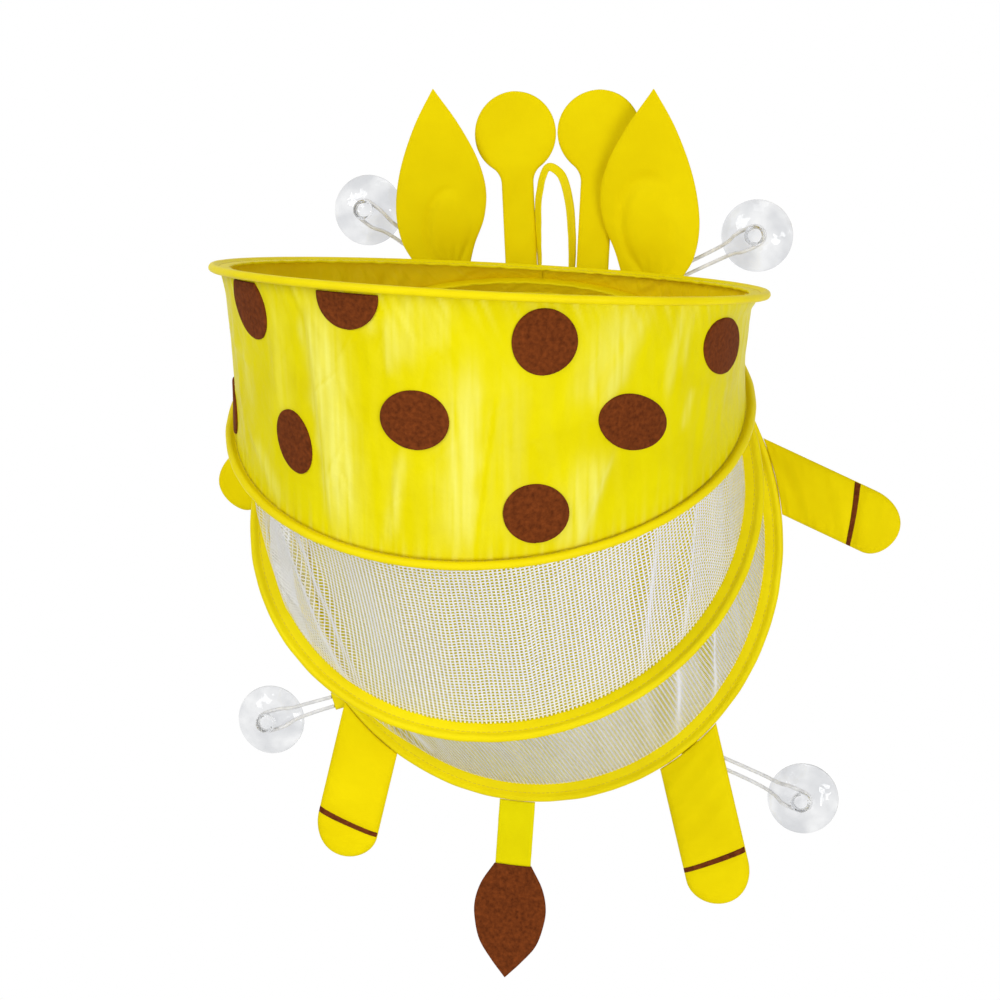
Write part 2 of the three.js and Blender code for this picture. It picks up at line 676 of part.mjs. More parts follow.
const TAIL_TIP_OUTLINE = [
  [0, TAIL_TIP_TOP_WIDTH / 2],
  [0.2, TAIL_TIP_WIDTH * 0.42],
  [0.38, TAIL_TIP_WIDTH * 0.485],
  [0.53, TAIL_TIP_WIDTH * 0.465],
  [0.7, TAIL_TIP_WIDTH * 0.385],
  [0.86, TAIL_TIP_WIDTH * 0.2],
  [1, LEAF_TIP_WIDTH / 2],
];
const TAIL_TIP_SHARES = [0, 0.13, 0.25, 0.4, 0.55, 0.7, 0.85, 1];
const tipStart = TAIL_STRAP_LENGTH + FIT_GAP;
const tipStations = leafStations(TAIL_TIP_LENGTH, TAIL_TIP_OUTLINE, TAIL_TIP_SHARES)
  .map(({ reach, half }) => ({ reach: reach + tipStart, half }));
const tipHalf = TAIL_TIP_THICKNESS / 2;
const tipEnd = tipStart + TAIL_TIP_LENGTH;
const tipFrame = { ...tailFrame, rooted: false };
addPiece('tail_tip', paddedLimb(tipFrame, tipEnd, tipStations, tipHalf, tipHalf), brownFelt);

// Hanging loop: a ribbon up from the top of the back casing beside one horn and down beside the other
function hangingLoop() {
  const left = limbFrame(HORNS.left_horn).start.x + HORN_STALK_WIDTH / 2 + LOOP_LEFT_GAP;
  const right = limbFrame(HORNS.right_horn).start.x - HORN_STALK_WIDTH / 2 - LOOP_RIGHT_GAP;
  const span = right - left;
  const upward = { start: new THREE.Vector3(left, 0, 0), along: UP, across: RIGHT };
  const points = [
    [0, 0, 0],
    [-0.02, 0, 0.12],
    [-0.1, 0.4, 0.42],
    [-0.12, 0.8, 0.75],
    [0.12, 1, 0.98],
    [0.5, 1, 0.93],
    [0.78, 0.8, 0.74],
    [0.95, 0.4, 0.42],
    [1, 0, 0.12],
    [1, 0, 0],
  ].map(([across, forward, up]) => new THREE.Vector3(
    left + across * span,
    -BACK_STANDOFF - forward * LOOP_FORWARD,
    rootReach(upward, across * span) + up * LOOP_HEIGHT,
  ));
  const path = new THREE.CatmullRomCurve3(points);
  const rings = Array.from({ length: LOOP_STEPS + 1 }, (_, i) => ribbonSection(path, i / LOOP_STEPS));
  return loft(rings, false);
}

function ribbonSection(path, share) {
  const centre = path.getPoint(share);
  const along = path.getTangent(share);
  const twist = radians(LOOP_TWIST) * Math.sin(Math.PI * share) ** 2;
  const wide = new THREE.Vector3(0, 1, 0).projectOnPlane(along).normalize().applyAxisAngle(along, twist);
  const thick = along.clone().cross(wide);
  return [[-1, -1], [1, -1], [1, 1], [-1, 1]].map(([side, face]) => centre.clone()
    .addScaledVector(wide, (side * RIBBON_WIDTH) / 2)
    .addScaledVector(thick, (face * RIBBON_THICKNESS) / 2));
}

addPiece('hanging_loop', hangingLoop(), yellowCloth);

// A suction cup, turned about its own axis: flat lip on the wall, dome, neck groove and knob
function suctionCup([x, z]) {
  const neckStart = CUP_DOME_HEIGHT;
  const knobStart = neckStart + CUP_NECK_HEIGHT;
  const knobEnd = knobStart + CUP_KNOB_HEIGHT;
  const lip = CUP_DIAMETER / 2;
  const knob = CUP_KNOB_DIAMETER / 2;
  const neck = CUP_NECK_DIAMETER / 2;
  const shoulder = CUP_SHOULDER_DIAMETER / 2;
  const hollow = lip - CUP_LIP_WIDTH;
  const profile = [
    [knob - CUP_KNOB_BEVEL, knobEnd],
    [knob, knobEnd - CUP_KNOB_BEVEL],
    [knob, knobStart + CUP_NECK_FLARE],
    [neck, knobStart],
    [neck, neckStart],
    [shoulder, neckStart - CUP_NECK_FLARE],
    [(shoulder + lip) / 2, (neckStart + CUP_LIP_HEIGHT) / 2 + CUP_NECK_FLARE],
    [lip, CUP_LIP_HEIGHT],
    [lip, 0],
    [hollow, 0],
    [(shoulder + hollow) / 2, CUP_HOLLOW_DEPTH],
  ];
  const rings = profile.map(([radius, height]) => Array.from({ length: CUP_SIDES }, (_, i) => {
    const angle = (i / CUP_SIDES) * 2 * Math.PI;
    return new THREE.Vector3(x + radius * Math.cos(angle), -height, z + radius * Math.sin(angle));
  }));
  return loft(rings, false);
}

// A tab of tape sewn behind the back casing, which holds both ends of a tether's cord
function tetherFrame({ anchor, cup: [x, z] }) {
  const start = new THREE.Vector3(
    OUTER_HALF_WIDTH * Math.cos(radians(anchor)),
    0,
    OUTER_HALF_HEIGHT * Math.sin(radians(anchor)),
  );
  const end = new THREE.Vector3(x, 0, z);
  const along = end.clone().sub(start).normalize();
  const across = new THREE.Vector3(-along.z, 0, along.x);
  return { start, end, along, across, length: end.distanceTo(start) };
}

function tetherPoint(frame, reach, side, offWall) {
  return frame.start.clone()
    .addScaledVector(frame.along, reach)
    .addScaledVector(frame.across, side)
    .add(new THREE.Vector3(0, -offWall, 0));
}

const cordOffWall = CORD_WALL_GAP + CORD_DIAMETER / 2;

function tetherTab(frame) {
  const half = TAB_WIDTH / 2;
  const near = CORD_WALL_GAP;
  const far = CORD_WALL_GAP + TAB_THICKNESS;
  const section = [[-half, near], [half, near], [half, far], [-half, far]];
  const rings = [-TAB_INSIDE, TAB_OUTSIDE].map((reach) => section.map(([side, offWall]) => {
    return tetherPoint(frame, reach, side, offWall);
  }));
  return loft(rings, false);
}

// The cord runs from the tab along the wall, up to the cup's neck, round it and back to the tab.
function tetherCord(frame) {
  const neckLevel = CUP_DOME_HEIGHT + CUP_NECK_HEIGHT / 2;
  const bend = CUP_NECK_DIAMETER / 2 + CORD_DIAMETER / 2 + CORD_LOOP_GAP;
  const half = CORD_SPREAD / 2;
  const begin = TAB_OUTSIDE + FIT_GAP;
  const lip = CUP_DIAMETER / 2;
  const halfUp = (neckLevel + cordOffWall) / 2;
  const leg = [
    [begin, half, cordOffWall],
    [begin + CORD_DIAMETER, half, cordOffWall],
    [frame.length - lip * 1.25, half * 1.1, cordOffWall],
    [frame.length - lip * 0.78, half * 1.3, halfUp],
    [frame.length - CUP_SHOULDER_DIAMETER * 0.65, bend, neckLevel],
  ];
  const around = [90, 60, 30, 0, -30, -60, -90].map((degrees) => [
    frame.length + bend * Math.cos(radians(degrees)),
    bend * Math.sin(radians(degrees)),
    neckLevel,
  ]);
  const back = leg.toReversed().map(([reach, side, offWall]) => [reach, -side, offWall]);
  const route = [...leg, ...around, ...back].map(([reach, side, offWall]) => {
    return tetherPoint(frame, reach, side, offWall);
  });
  const section = new THREE.Shape(Array.from({ length: CORD_SIDES }, (_, i) => {
    const angle = (i / CORD_SIDES) * 2 * Math.PI;
    return new THREE.Vector2(Math.cos(angle), Math.sin(angle)).multiplyScalar(CORD_DIAMETER / 2);
  }));
  const path = new THREE.CatmullRomCurve3(route, false, 'centripetal');
  return new THREE.ExtrudeGeometry(section, { steps: CORD_STEPS, extrudePath: path, bevelEnabled: false });
}

for (const [name, tether] of Object.entries(TETHERS)) {
  const frame = tetherFrame(tether);
  addPiece(`${name}_tab`, tetherTab(frame), yellowCloth);
  addPiece(`${name}_cord`, tetherCord(frame), whiteNet);
  addPiece(`${name}_cup`, suctionCup(tether.cup), clearVinyl);
}

export default basket;
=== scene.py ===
"""Looks of a wall-hung bath toy basket: four cloth-cased hoops with a spotted band, two nets and a back
panel between them, padded ears, horns, arms and legs, a tail, a hanging loop and four suction cups.
Shapes are worked out in millimetres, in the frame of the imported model, and added in metres."""
import math
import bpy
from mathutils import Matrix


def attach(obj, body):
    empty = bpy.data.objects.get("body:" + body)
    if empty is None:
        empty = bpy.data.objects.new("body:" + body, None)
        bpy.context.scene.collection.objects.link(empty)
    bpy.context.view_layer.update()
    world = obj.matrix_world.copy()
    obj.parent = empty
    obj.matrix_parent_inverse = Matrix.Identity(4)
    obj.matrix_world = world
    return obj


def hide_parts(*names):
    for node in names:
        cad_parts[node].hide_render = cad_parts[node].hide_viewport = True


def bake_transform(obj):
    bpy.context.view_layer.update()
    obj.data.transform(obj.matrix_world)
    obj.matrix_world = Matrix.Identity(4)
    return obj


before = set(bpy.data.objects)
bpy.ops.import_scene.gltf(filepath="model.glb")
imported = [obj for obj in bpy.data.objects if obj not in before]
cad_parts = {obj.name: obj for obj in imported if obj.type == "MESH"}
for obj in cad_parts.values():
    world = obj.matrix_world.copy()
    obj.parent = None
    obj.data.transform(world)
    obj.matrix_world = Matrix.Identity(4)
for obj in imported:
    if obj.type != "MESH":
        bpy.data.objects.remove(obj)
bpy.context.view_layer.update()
from types import SimpleNamespace

import bmesh
import bpy
import numpy as np
from mathutils import Matrix

MM = 0.001
RIGHT = np.array([1.0, 0.0, 0.0])
FORWARD = np.array([0.0, -1.0, 0.0])
TURN = 2 * math.pi


def table(keys, **rows):
    """Named rows of values, which are read by their keys."""
    return {name: SimpleNamespace(**dict(zip(keys.split(), row))) for name, row in rows.items()}


# Hoop casings and cloth walls
WIRE_RADIUS = 0.8
BULGE_RADIUS = 2.4
FLANGE_HALF = 0.8
FLANGE_INNER = -10.1
SEAM_OUTSIDE = -9.2
RIM_SEAM_OUTSIDE = -5.0
BAND_SEAM_OUTSIDE = -4.0
SEAM_ABOVE = 0.75
BAND_WAIST = 1.5
BAND_COLUMNS = 641
BAND_ROWS = 65
NET_WAIST = 2.0
OUTER_HALF_WIDTH = 164.7
OUTER_HALF_HEIGHT = 173.2
BACK_STANDOFF = 4.5
STITCH_PITCH = 3.2
STITCH_LENGTH = 2.2
STITCH_RADIUS = 0.25
STITCH_SIDES = 5
STITCH_OUTSIDE = -3.6
STITCH_LEVELS = np.array([0.47, 0.8, 0.8, 0.47])
NET_PITCH = 2.6
NET_THREAD_WIDTH = 1.02
GUSSET_TURN = math.radians(67.5)
PANEL_LAP = 3
PANEL_SLOPE_WIDTH = 27
PANEL_LIFT = 0.9
PANEL_CLIMB = 2.4
PANEL_LOWEST = 0.5
# Waves of the panel: how many go round, phase
PANEL_WAVES = [(17, 1), (25, 2), (36, 4)]
PANEL_WAVE_RISE = 0.184

# Ripples of the cloth: height, slant, wavelength and seed
BAND_RIPPLES = [(0.35, 14, 34, 21), (0.2, -22, 17, 22)]
BAND_CRUMPLE = [(1, 12, 21, 25), (0.6, -9, 9, 26)]
BAND_TOP_PUCKERS = [(0.8, 0.5, 10, 23)]
BAND_HEM_PUCKERS = [(0.6, 0, 10, 24)]
# Ripples of the painted sheen, the pale highlights painted along the band's folds: how they wander, vary and
# cloud
PAINTED_SHEEN_WANDER = [(0.12, 40, 31, 27)]
PAINTED_SHEEN_STREAKS = [(0.3, 6, 7, 28), (0.2, -5, 2.6, 29)]
PAINTED_SHEEN_CLOUDS = [(0.02, 16, 13, 30)]
# Ripples of the highlights painted on the puckers at the top seam and at the hem
TOP_PAINTED_GLINTS = [(1, 0.4, 8, 23)]
HEM_PAINTED_GLINTS = [(1, 0, 7, 24)]
NET_SWAY = [(1.1, 25, 60, 0), (0.5, -18, 23, 1)]
GUSSET_CRUMPLE = [(1, 9, 19, 0), (0.6, -7, 8, 1)]
TAB_SAG = [(0.12, 1, 9, 40)]
CASING_PUCKERS = [(0.3, 0, 13, 50)]
CASING_SLACK = [(0.12, 0, 31, 60)]
SPOT_EDGE = [(0.012, 0, 3, 70)]
LIMB_PUCKERS = [(0.9, 0, 8, 80)]
LIMB_CREASES = [(0.35, 0.4, 21, 90)]
EAR_PUCKERS = [(0.6, 0, 12, 80)]
HORN_CREASES = [(0.3, 1, 33, 80)]
TAIL_STRAP_BOW = [(0.25, 0.5, 19, 96)]
TAIL_TIP_BOW = [(0.5, 0.6, 64, 97)]
LOOP_CURL = [(0.12, 0, 15, 98)]

# Short creases of the band, strewn over its front, and how calm it lies under a spot
CREASE_COUNT = 170
CREASE_SEED = 19
SPOT_CALM = 0.93

# Felt spots: degrees round the rim from the front, share of the way down the band, width and height
SPOT_THICKNESS = 1.2
SPOT_SEAM_MARGIN = 3.0
SPOTS = [
    (-47.5, 0.128, 37, 38), (-17.2, 0.03, 38.5, 38), (23.4, 0.163, 35.5, 38),
    (72.5, 0.27, 50, 35), (-3, 0.475, 39.5, 34), (-33.3, 0.66, 29, 36),
    (43.7, 0.523, 45, 33), (22.3, 0.834, 37.5, 34), (-71, 0.8, 40, 30),
]

# Folds of the band: degrees round and share of the way down at both ends, half widths on the left and on
# the right, height
BAND_FOLDS = [
    (-27.5, 0.08, -22.5, 0.97, 2.5, 16, 1.9), (-8.5, 0.04, -8, 0.36, 3, 7, 1.1),
    (7.5, 0.15, 5.5, 1, 10, 7, 1.7), (13.2, 0.4, 9.2, 0.96, 1.6, 1.6, -0.9),
    (14.2, 0.4, 10.2, 0.96, 1.2, 2.5, 0.7), (-6.2, 0.58, -8.6, 0.97, 2, 4.5, 1.3),
    (46, 0, 34, 0.45, 4, 12, 2.0), (39, 0.6, 31, 1, 9, 2.5, 1.9), (55, 0, 52, 0.45, 2.5, 3, 1.0),
    (58, 0, 55, 0.5, 2, 3, 0.8), (-53, 0.72, -38, 0.99, 3, 6, 1.3), (-60, 0.15, -55, 0.9, 3, 6, 1.0),
    (17, 0.3, 16, 1, 5, 5, 0.8), (66, 0.45, 62, 1, 3, 6, 1.1), (-40, 0.04, -37, 0.6, 3, 9, 1.0),
    (31, 0.04, 27, 0.5, 4, 6, 0.8), (14.5, 0.57, 36, 0.47, 1.4, 1.4, 0.5), (-14, 0.05, -12, 0.3, 2.5, 5, 0.9),
    (-2, 0.04, -4, 0.3, 2.5, 4, 0.8), (70, 0, 69, 0.4, 3, 5, 0.9), (-66, 0.3, -50, 0.42, 2, 4, 0.9),
]

# Painted sheen along the folds, pale highlights painted where a fold catches the light: degrees round and
# share of the way down at both ends, half width, softness of the left and of the right edge, strength
BAND_PAINTED_HIGHLIGHTS = [
    (-25.4, 0.12, -19.9, 0.9, 11.5, 1.0, 3.5, 1.0), (-8.1, 0.1, -8, 0.3, 2.5, 0.8, 1.5, 0.8),
    (-3.5, 0.03, -5, 0.25, 6, 2, 3, 0.6), (3, 0.03, 2, 0.2, 4, 2, 2, 0.5),
    (-13, 0.04, -12, 0.16, 3, 1.5, 1.5, 0.5),
    (7.5, 0.3, 5.8, 0.92, 9, 3.5, 1.0, 0.85), (-6.2, 0.62, -8.6, 0.92, 2.6, 0.8, 1.2, 0.9),
    (42, 0.05, 34, 0.4, 11, 4, 1.5, 0.75), (35, 0.66, 30, 0.98, 9, 3.5, 1.0, 0.85),
    (54.9, 0.03, 52, 0.4, 2.5, 0.8, 1, 0.7), (58, 0.03, 56, 0.3, 2, 0.8, 1, 0.5),
    (-49, 0.78, -39, 0.95, 5, 1.5, 2, 0.7), (-62, 0.2, -58, 0.45, 4, 1.2, 2, 0.6),
    (-54, 0.35, -50, 0.6, 4, 1.5, 2, 0.5), (60, 0.45, 58, 0.62, 2.5, 1, 1, 0.6),
    (17, 0.3, 16, 0.9, 6, 4, 4, 0.3), (-38, 0.1, -36, 0.6, 6, 3, 3, 0.35),
]
# How far the band is drawn in at its left and at its right side
BAND_DRAWN_IN = ((-88, 2.5), (88, 4.0))
# How the spots lie askew on the slanting band: sideways shift with depth, sinking with the way across
SPOT_LEANS = {1: (0.3, 0), 4: (0.35, 0), 6: (0.1, 0), 7: (0, 0.25), 8: (0, 0.12)}
# Loose folds of the nets: degrees round at the top and at the bottom, half width, height
NET_FOLDS = [
    (-66, -54, 5, 5), (-46, -29, 5, 6), (-38, -24, 3, 2.5), (20, 16, 6, 2), (52, 42, 5, 4), (66, 55, 4, 5),
]
# Where the nets are gathered: degrees round, half width in degrees, share of extra threads
MIDDLE_GATHERS = [(-70, 6, 0.2), (72, 5, 0.4)]
LOWER_GATHERS = [(64, 6, 0.3)]
CLOTH_THICKNESS = 0.4

# Padding: height in front of the sewn edge and behind it
LIMB_PADDING = 5.0
EAR_PADDING = 3.2
HORN_PADDING = 2.4
FLAP_BACK_PADDING = 1.2
STRIPE_WIDTH = 3.3
# Limbs: root on the hoop and heading in degrees, width, length, the stripe's distance from the tip
LIMBS = table(
    "root heading width length stripe seed",
    right_arm=(18, -21, 39.5, 85.5, 30.5, 1), left_arm=(162, 214, 39.5, 67.5, 30.5, 2),
    right_leg=(-47.4, -73.2, 43, 104, 29, 3), left_leg=(231.5, 259.4, 43, 88, 23.5, 4),
)
# Padded leaves: share of the length, and half width as a share of the width
EAR_ROOT_WIDTH = 26.0
EAR_OUTLINE = [(0.19, 0.33), (0.32, 0.455), (0.46, 0.5), (0.62, 0.438), (0.82, 0.247)]
EAR_TILT = 6.0
# Pleats at the foot of an ear: degrees from its middle line, length
EAR_PLEATS = [(-30, 34), (-9, 27), (12, 30), (33, 26)]
PLEAT_FOOT = 8
PLEAT_DEPTH = 2.0
# Ears: root and heading, width, length, and the place and half sizes of the pouch, sideways and along
EARS = table(
    "root heading width length fold seed",
    left_ear=(113.5, 95.9, 61, 131, (-5, 40, 14, 24), 5),
    right_ear=(66.35, 90.6, 65, 137, (-3, 50, 20, 30), 6),
)
HORN_STALK = 21.0
HORN_FILLET = 13.0
HORNS = table(
    "root heading length head seed",
    left_horn=(95.8, 96.0, 119, 53.6, 7), right_horn=(79.7, 90.3, 124, 55.2, 8),
)
TAIL_ROOT = 270
TAIL_HEADING = 269.2
TAIL_STRAP_WIDTH = 24.0
TAIL_STRAP_LENGTH = 43.0
TAIL_STRAP_THICKNESS = 1.8
TAIL_TIP_LENGTH = 76.0
TAIL_TIP_WIDTH = 50.0
TAIL_TIP_TOP = 25.0
TAIL_TIP_THICKNESS = 2.6
TAIL_TIP_GAP = 0.3
TAIL_TIP_OUTLINE = [(0.2, 0.42), (0.38, 0.485), (0.53, 0.465), (0.7, 0.385), (0.86, 0.2)]
LEAF_TIP_HALF = 0.3

# Hanging loop: feet from left to right, and its line as shares of the way across, forward and up
LOOP_LEFT = -4.84
LOOP_RIGHT = 15.75
LOOP_FOOT = 172.6
LOOP_HEIGHT = 72
LOOP_FORWARD = 4.5
LOOP_TWIST = 60
LOOP_LINE = [
    (0, 0, 0), (-0.02, 0, 0.12), (-0.1, 0.4, 0.42), (-0.12, 0.8, 0.75), (0.12, 1, 0.98),
    (0.5, 1, 0.93), (0.78, 0.8, 0.74), (0.95, 0.4, 0.42), (1, 0, 0.12), (1, 0, 0),
]
RIBBON_HALF_WIDTH = 3.0
RIBBON_HALF_THICKNESS = 0.5

# Tethers and cups: how far a cord starts from the hoop, its side offset and height over the wall, and its
# bend round the neck of the cup
CORD_DIAMETER = 2.4
CORD_EXIT = 8.3
CORD_SIDE = 3.2
CORD_OFF_WALL = 1.6
CORD_BEND = 6.1
CORD_NECK_LEVEL = 10.5
# How far before the cup's middle a cord leaves the wall, is half way up and reaches the neck
CORD_CLIMB = (28.75, 17.94, 10.4)
TAB_INSIDE = 6
TAB_OUTSIDE = 8
TAB_HALF_WIDTH = 6
TAB_FRONT = 1.7
TAB_BACK = 0.5
CUP_RADIUS = 23.0
CUP_HOLLOW_RADIUS = 20.5
TETHERS = table(
    "anchor cup",
    upper_left=(109.2, (-122.5, 209.3)), upper_right=(70.8, (134, 207)),
    lower_left=(222, (-172.5, -135.2)), lower_right=(-47.3, (187.3, -153.6)),
)

# The camera that matches the photo: degrees, millimetres
CAMERA_YAW = 11.8
CAMERA_PITCH = 6.121
CAMERA_ROLL = 3.166
CAMERA_DISTANCE = 1800.0
CAMERA_ASIDE = 30.393
CAMERA_ABOVE = 142.244
CAMERA_LENS = 100.03
HINGE_TOP = np.array([0.0, -4.5, 170.5])
SENSOR_WIDTH = 36

# Stage: the floor's level in millimetres, its size and where its white begins and ends in metres
FLOOR_LEVEL = -750.0
FLOOR_SIZE = 40.0
WHITE_FROM = 0.4
WHITE_TO = 0.75
WORLD_STRENGTH = 0.45
WHITE = (1, 1, 1, 1)
# Lamps: place, target, width and height in metres, watts
LAMPS = {
    "key": ((-1.25, -1.85, 1.1), (0, -0.15, 0.05), (1.3, 1.3), 23),
    "fill": ((1.6, -1.7, 0.05), (0, -0.15, 0.0), (1.0, 1.0), 21),
    "low": ((-0.2, -1.7, -0.45), (0, -0.2, 0.05), (1.8, 0.35), 2),
    "top": ((0.1, -0.5, 1.9), (0, -0.1, 0.1), (0.8, 0.8), 3),
}


def unit(vector):
    return vector / np.linalg.norm(vector, axis=-1, keepdims=True)


def axes_matrix(right, up, back, place):
    """The matrix of a camera or lamp from its three axes and its place in metres."""
    turned = np.eye(4)
    turned[:3] = np.stack([right, up, back, place], -1)
    return Matrix(turned.tolist())


def place_camera():
    yaw, pitch, roll = np.radians([CAMERA_YAW, CAMERA_PITCH, CAMERA_ROLL])
    across = np.array([math.cos(yaw), math.sin(yaw), 0])
    into = np.array([-math.sin(yaw), math.cos(yaw), 0])
    upward = np.array([0, 0, 1])
    ahead = math.cos(pitch) * into - math.sin(pitch) * upward
    level_up = math.sin(pitch) * into + math.cos(pitch) * upward
    right = math.cos(roll) * across + math.sin(roll) * level_up
    up = -math.sin(roll) * across + math.cos(roll) * level_up
    place = HINGE_TOP - CAMERA_DISTANCE * ahead - CAMERA_ASIDE * right - CAMERA_ABOVE * up
    data = bpy.data.cameras.new("camera")
    data.lens = CAMERA_LENS
    data.sensor_width = SENSOR_WIDTH
    data.clip_start = 0.05
    data.clip_end = 50
    camera = bpy.data.objects.new("camera", data)
    camera.matrix_world = axes_matrix(right, up, -ahead, place * MM)
    bpy.context.collection.objects.link(camera)
    bpy.context.scene.camera = camera


place_camera()


# Materials, all procedural. Noise runs in object coordinates and the weave in those of the flat cloth.
class Graph:
    """A node tree, with what adds nodes to it and links them."""

    def __init__(self, tree):
        self.nodes = tree.nodes
        self.link = tree.links.new

    def set(self, node, **values):
        """Sets or links inputs of a node, with underscores for the spaces in their names."""
        for key, value in values.items():
            target = node.inputs[key.replace("_", " ")]
            if isinstance(value, bpy.types.NodeSocket):
                self.link(value, target)
            else:
                target.default_value = value

    def add(self, kind, **values):
        node = self.nodes.new(f"ShaderNode{kind}")
        self.set(node, **values)
        return node

    def noise(self, scale, detail):
        place = self.add("TexCoord").outputs["Object"]
        return self.add("TexNoise", Scale=scale, Detail=detail, Vector=place).outputs["Fac"]

    def ramp(self, factor, dark, light, low=0.35, high=0.65):
        node = self.add("ValToRGB", Fac=factor)
        for stop, position, colour in zip(node.color_ramp.elements, (low, high), (dark, light)):
            stop.position = position
            stop.color = (*colour, 1)
        return node.outputs["Color"]

    def bump(self, height, strength, distance, **below):
        node = self.add("Bump", Strength=strength, Distance=distance, Height=height, **below)
        return node.outputs["Normal"]

    def math(self, operation, first, second):
        node = self.add("Math")
        node.operation = operation
        self.link(first, node.inputs[0])
        self.link(second, node.inputs[1])
        return node.outputs[0]

    def weave(self, pitch):
        place = self.add("TexCoord").outputs["UV"]
        waves = []
        for direction in ("X", "Y"):
            wave = self.add("TexWave", Scale=TURN / 20 / pitch, Vector=place)
            wave.bands_direction = direction
            waves.append(wave.outputs["Fac"])
        return self.math("ADD", *waves)

    def seen_rays(self):
        """1 for rays that show the white background: the camera's, and those through glass and off metal."""
        path = self.add("LightPath").outputs
        seen = self.math("MAXIMUM", path["Is Camera Ray"], path["Is Glossy Ray"])
        return self.math("MAXIMUM", seen, path["Is Transmission Ray"])

    def mix_out(self, share, under, over, output):
        mixed = self.add("MixShader")
        for source, target in zip((share, under.outputs[0], over.outputs[0]), mixed.inputs):
            self.link(source, target)
        self.link(mixed.outputs[0], self.nodes[output].inputs["Surface"])


def new_look(name):
    look = bpy.data.materials.new(name)
    look.use_nodes = True
    graph = Graph(look.node_tree)
    return look, graph, graph.nodes["Principled BSDF"]


def cloth_look(name, dark, light, roughness, specular, weave_pitch, crinkle, pale=None):
    look, graph, surface = new_look(name)
    colour = graph.ramp(graph.noise(30, 3), dark, light)
    # Given a pale colour, a per-point attribute mixes it in: painted sheen, highlights painted on the cloth
    if pale:
        sheen_paint = graph.add("Attribute")
        sheen_paint.attribute_name = "sheen_paint"
        mixed = graph.add("Mix")
        mixed.data_type = "RGBA"
        graph.set(mixed, Factor=sheen_paint.outputs["Fac"], A=colour, B=(*pale, 1))
        colour = mixed.outputs["Result"]
    woven = graph.bump(graph.weave(weave_pitch), 0.12, 0.0002)
    creased = graph.bump(graph.noise(120, 4), crinkle, 0.003, Normal=woven)
    graph.set(surface, Base_Color=colour, Roughness=roughness, Specular_IOR_Level=specular, Normal=creased)
    return look


def felt_look(name, dark, light):
    look, graph, surface = new_look(name)
    fibres = graph.noise(420, 9)
    colour = graph.ramp(fibres, dark, light, 0.25, 0.75)
    graph.set(surface, Base_Color=colour, Roughness=0.95, Sheen_Weight=0.02, Specular_IOR_Level=0.08,
              Normal=graph.bump(fibres, 0.4, 0.0012))
    return look


def thread_look(name, dark, light, roughness, twist_scale):
    look, graph, surface = new_look(name)
    strands = graph.noise(twist_scale, 2)
    graph.set(surface, Base_Color=graph.ramp(strands, dark, light), Roughness=roughness,
              Normal=graph.bump(strands, 0.25, 0.0004))
    return look


def vinyl_look(name, dark, light):
    look, graph, surface = new_look(name)
    swirl = graph.noise(60, 2)
    graph.set(surface, Base_Color=graph.ramp(swirl, dark, light), Transmission_Weight=1.0, IOR=1.46,
              Roughness=0.06, Normal=graph.bump(swirl, 0.35, 0.008))
    return look


def steel_look(name, dark, light):
    look, graph, surface = new_look(name)
    graph.set(surface, Base_Color=graph.ramp(graph.noise(300, 3), dark, light), Metallic=1.0, Roughness=0.35)
    return look


# Cloths: dark and light colour, roughness, gloss, pitch of the weave in metres, crinkles
SATIN = ((0.71, 0.615, 0.0006), (0.76, 0.67, 0.001), 0.32, 0.025, 0.0006, 0.25)
satin = cloth_look("yellow_satin", *SATIN)
# The band's satin, with painted sheen: pale highlights painted along its folds
satin_painted_highlights = cloth_look("yellow_band_satin", *SATIN, pale=(0.83, 0.785, 0.14))
# A more orange copy of the satin, for the band's inner face and the gussets: painted shade of the basket's
# inside
satin_painted_shade = cloth_look("yellow_lining", (0.78, 0.56, 0.001), (0.82, 0.62, 0.002), 0.4, 0.08, 0.0006, 0.15)
plush = cloth_look("yellow_polyester", (0.795, 0.63, 0.0005), (0.835, 0.675, 0.0008), 0.65, 0.03, 0.0008,
                   0.08)
tape = cloth_look("yellow_tape", (0.80, 0.65, 0.0006), (0.84, 0.70, 0.001), 0.45, 0.08, 0.0007, 0.1)
felt = felt_look("brown_felt", (0.085, 0.018, 0.003), (0.20, 0.045, 0.008))
net_white = thread_look("white_net_thread", (0.80, 0.80, 0.81), (0.90, 0.90, 0.91), 0.55, 900)
cord_white = thread_look("white_cord", (0.68, 0.68, 0.69), (0.80, 0.80, 0.80), 0.5, 300)
stitch_yellow = thread_look("yellow_thread", (0.62, 0.48, 0.001), (0.74, 0.60, 0.002), 0.5, 1500)
vinyl = vinyl_look("clear_vinyl", (0.70, 0.71, 0.73), (0.92, 0.925, 0.93))
steel = steel_look("spring_steel", (0.25, 0.26, 0.27), (0.4, 0.41, 0.42))

for name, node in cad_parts.items():
    if name.endswith(("_wire", "_wire_sleeve")):
        node.data.materials.clear()
        node.data.materials.append(steel)


# Meshes from grids of points
def grid_faces(rows, columns, closed=False):
    i, j = np.meshgrid(np.arange(rows - 1), np.arange(columns if closed else columns - 1), indexing="ij")
    k = (j + 1) % columns
    near, far = i * columns, (i + 1) * columns
    return np.stack([near + j, near + k, far + k, far + j], -1).reshape(-1, 4)


def grid_border(rows, columns):
    indices = np.arange(rows * columns).reshape(rows, columns)
    return np.concatenate([indices[0, :-1], indices[:-1, -1], indices[-1, :0:-1], indices[:0:-1, 0]])


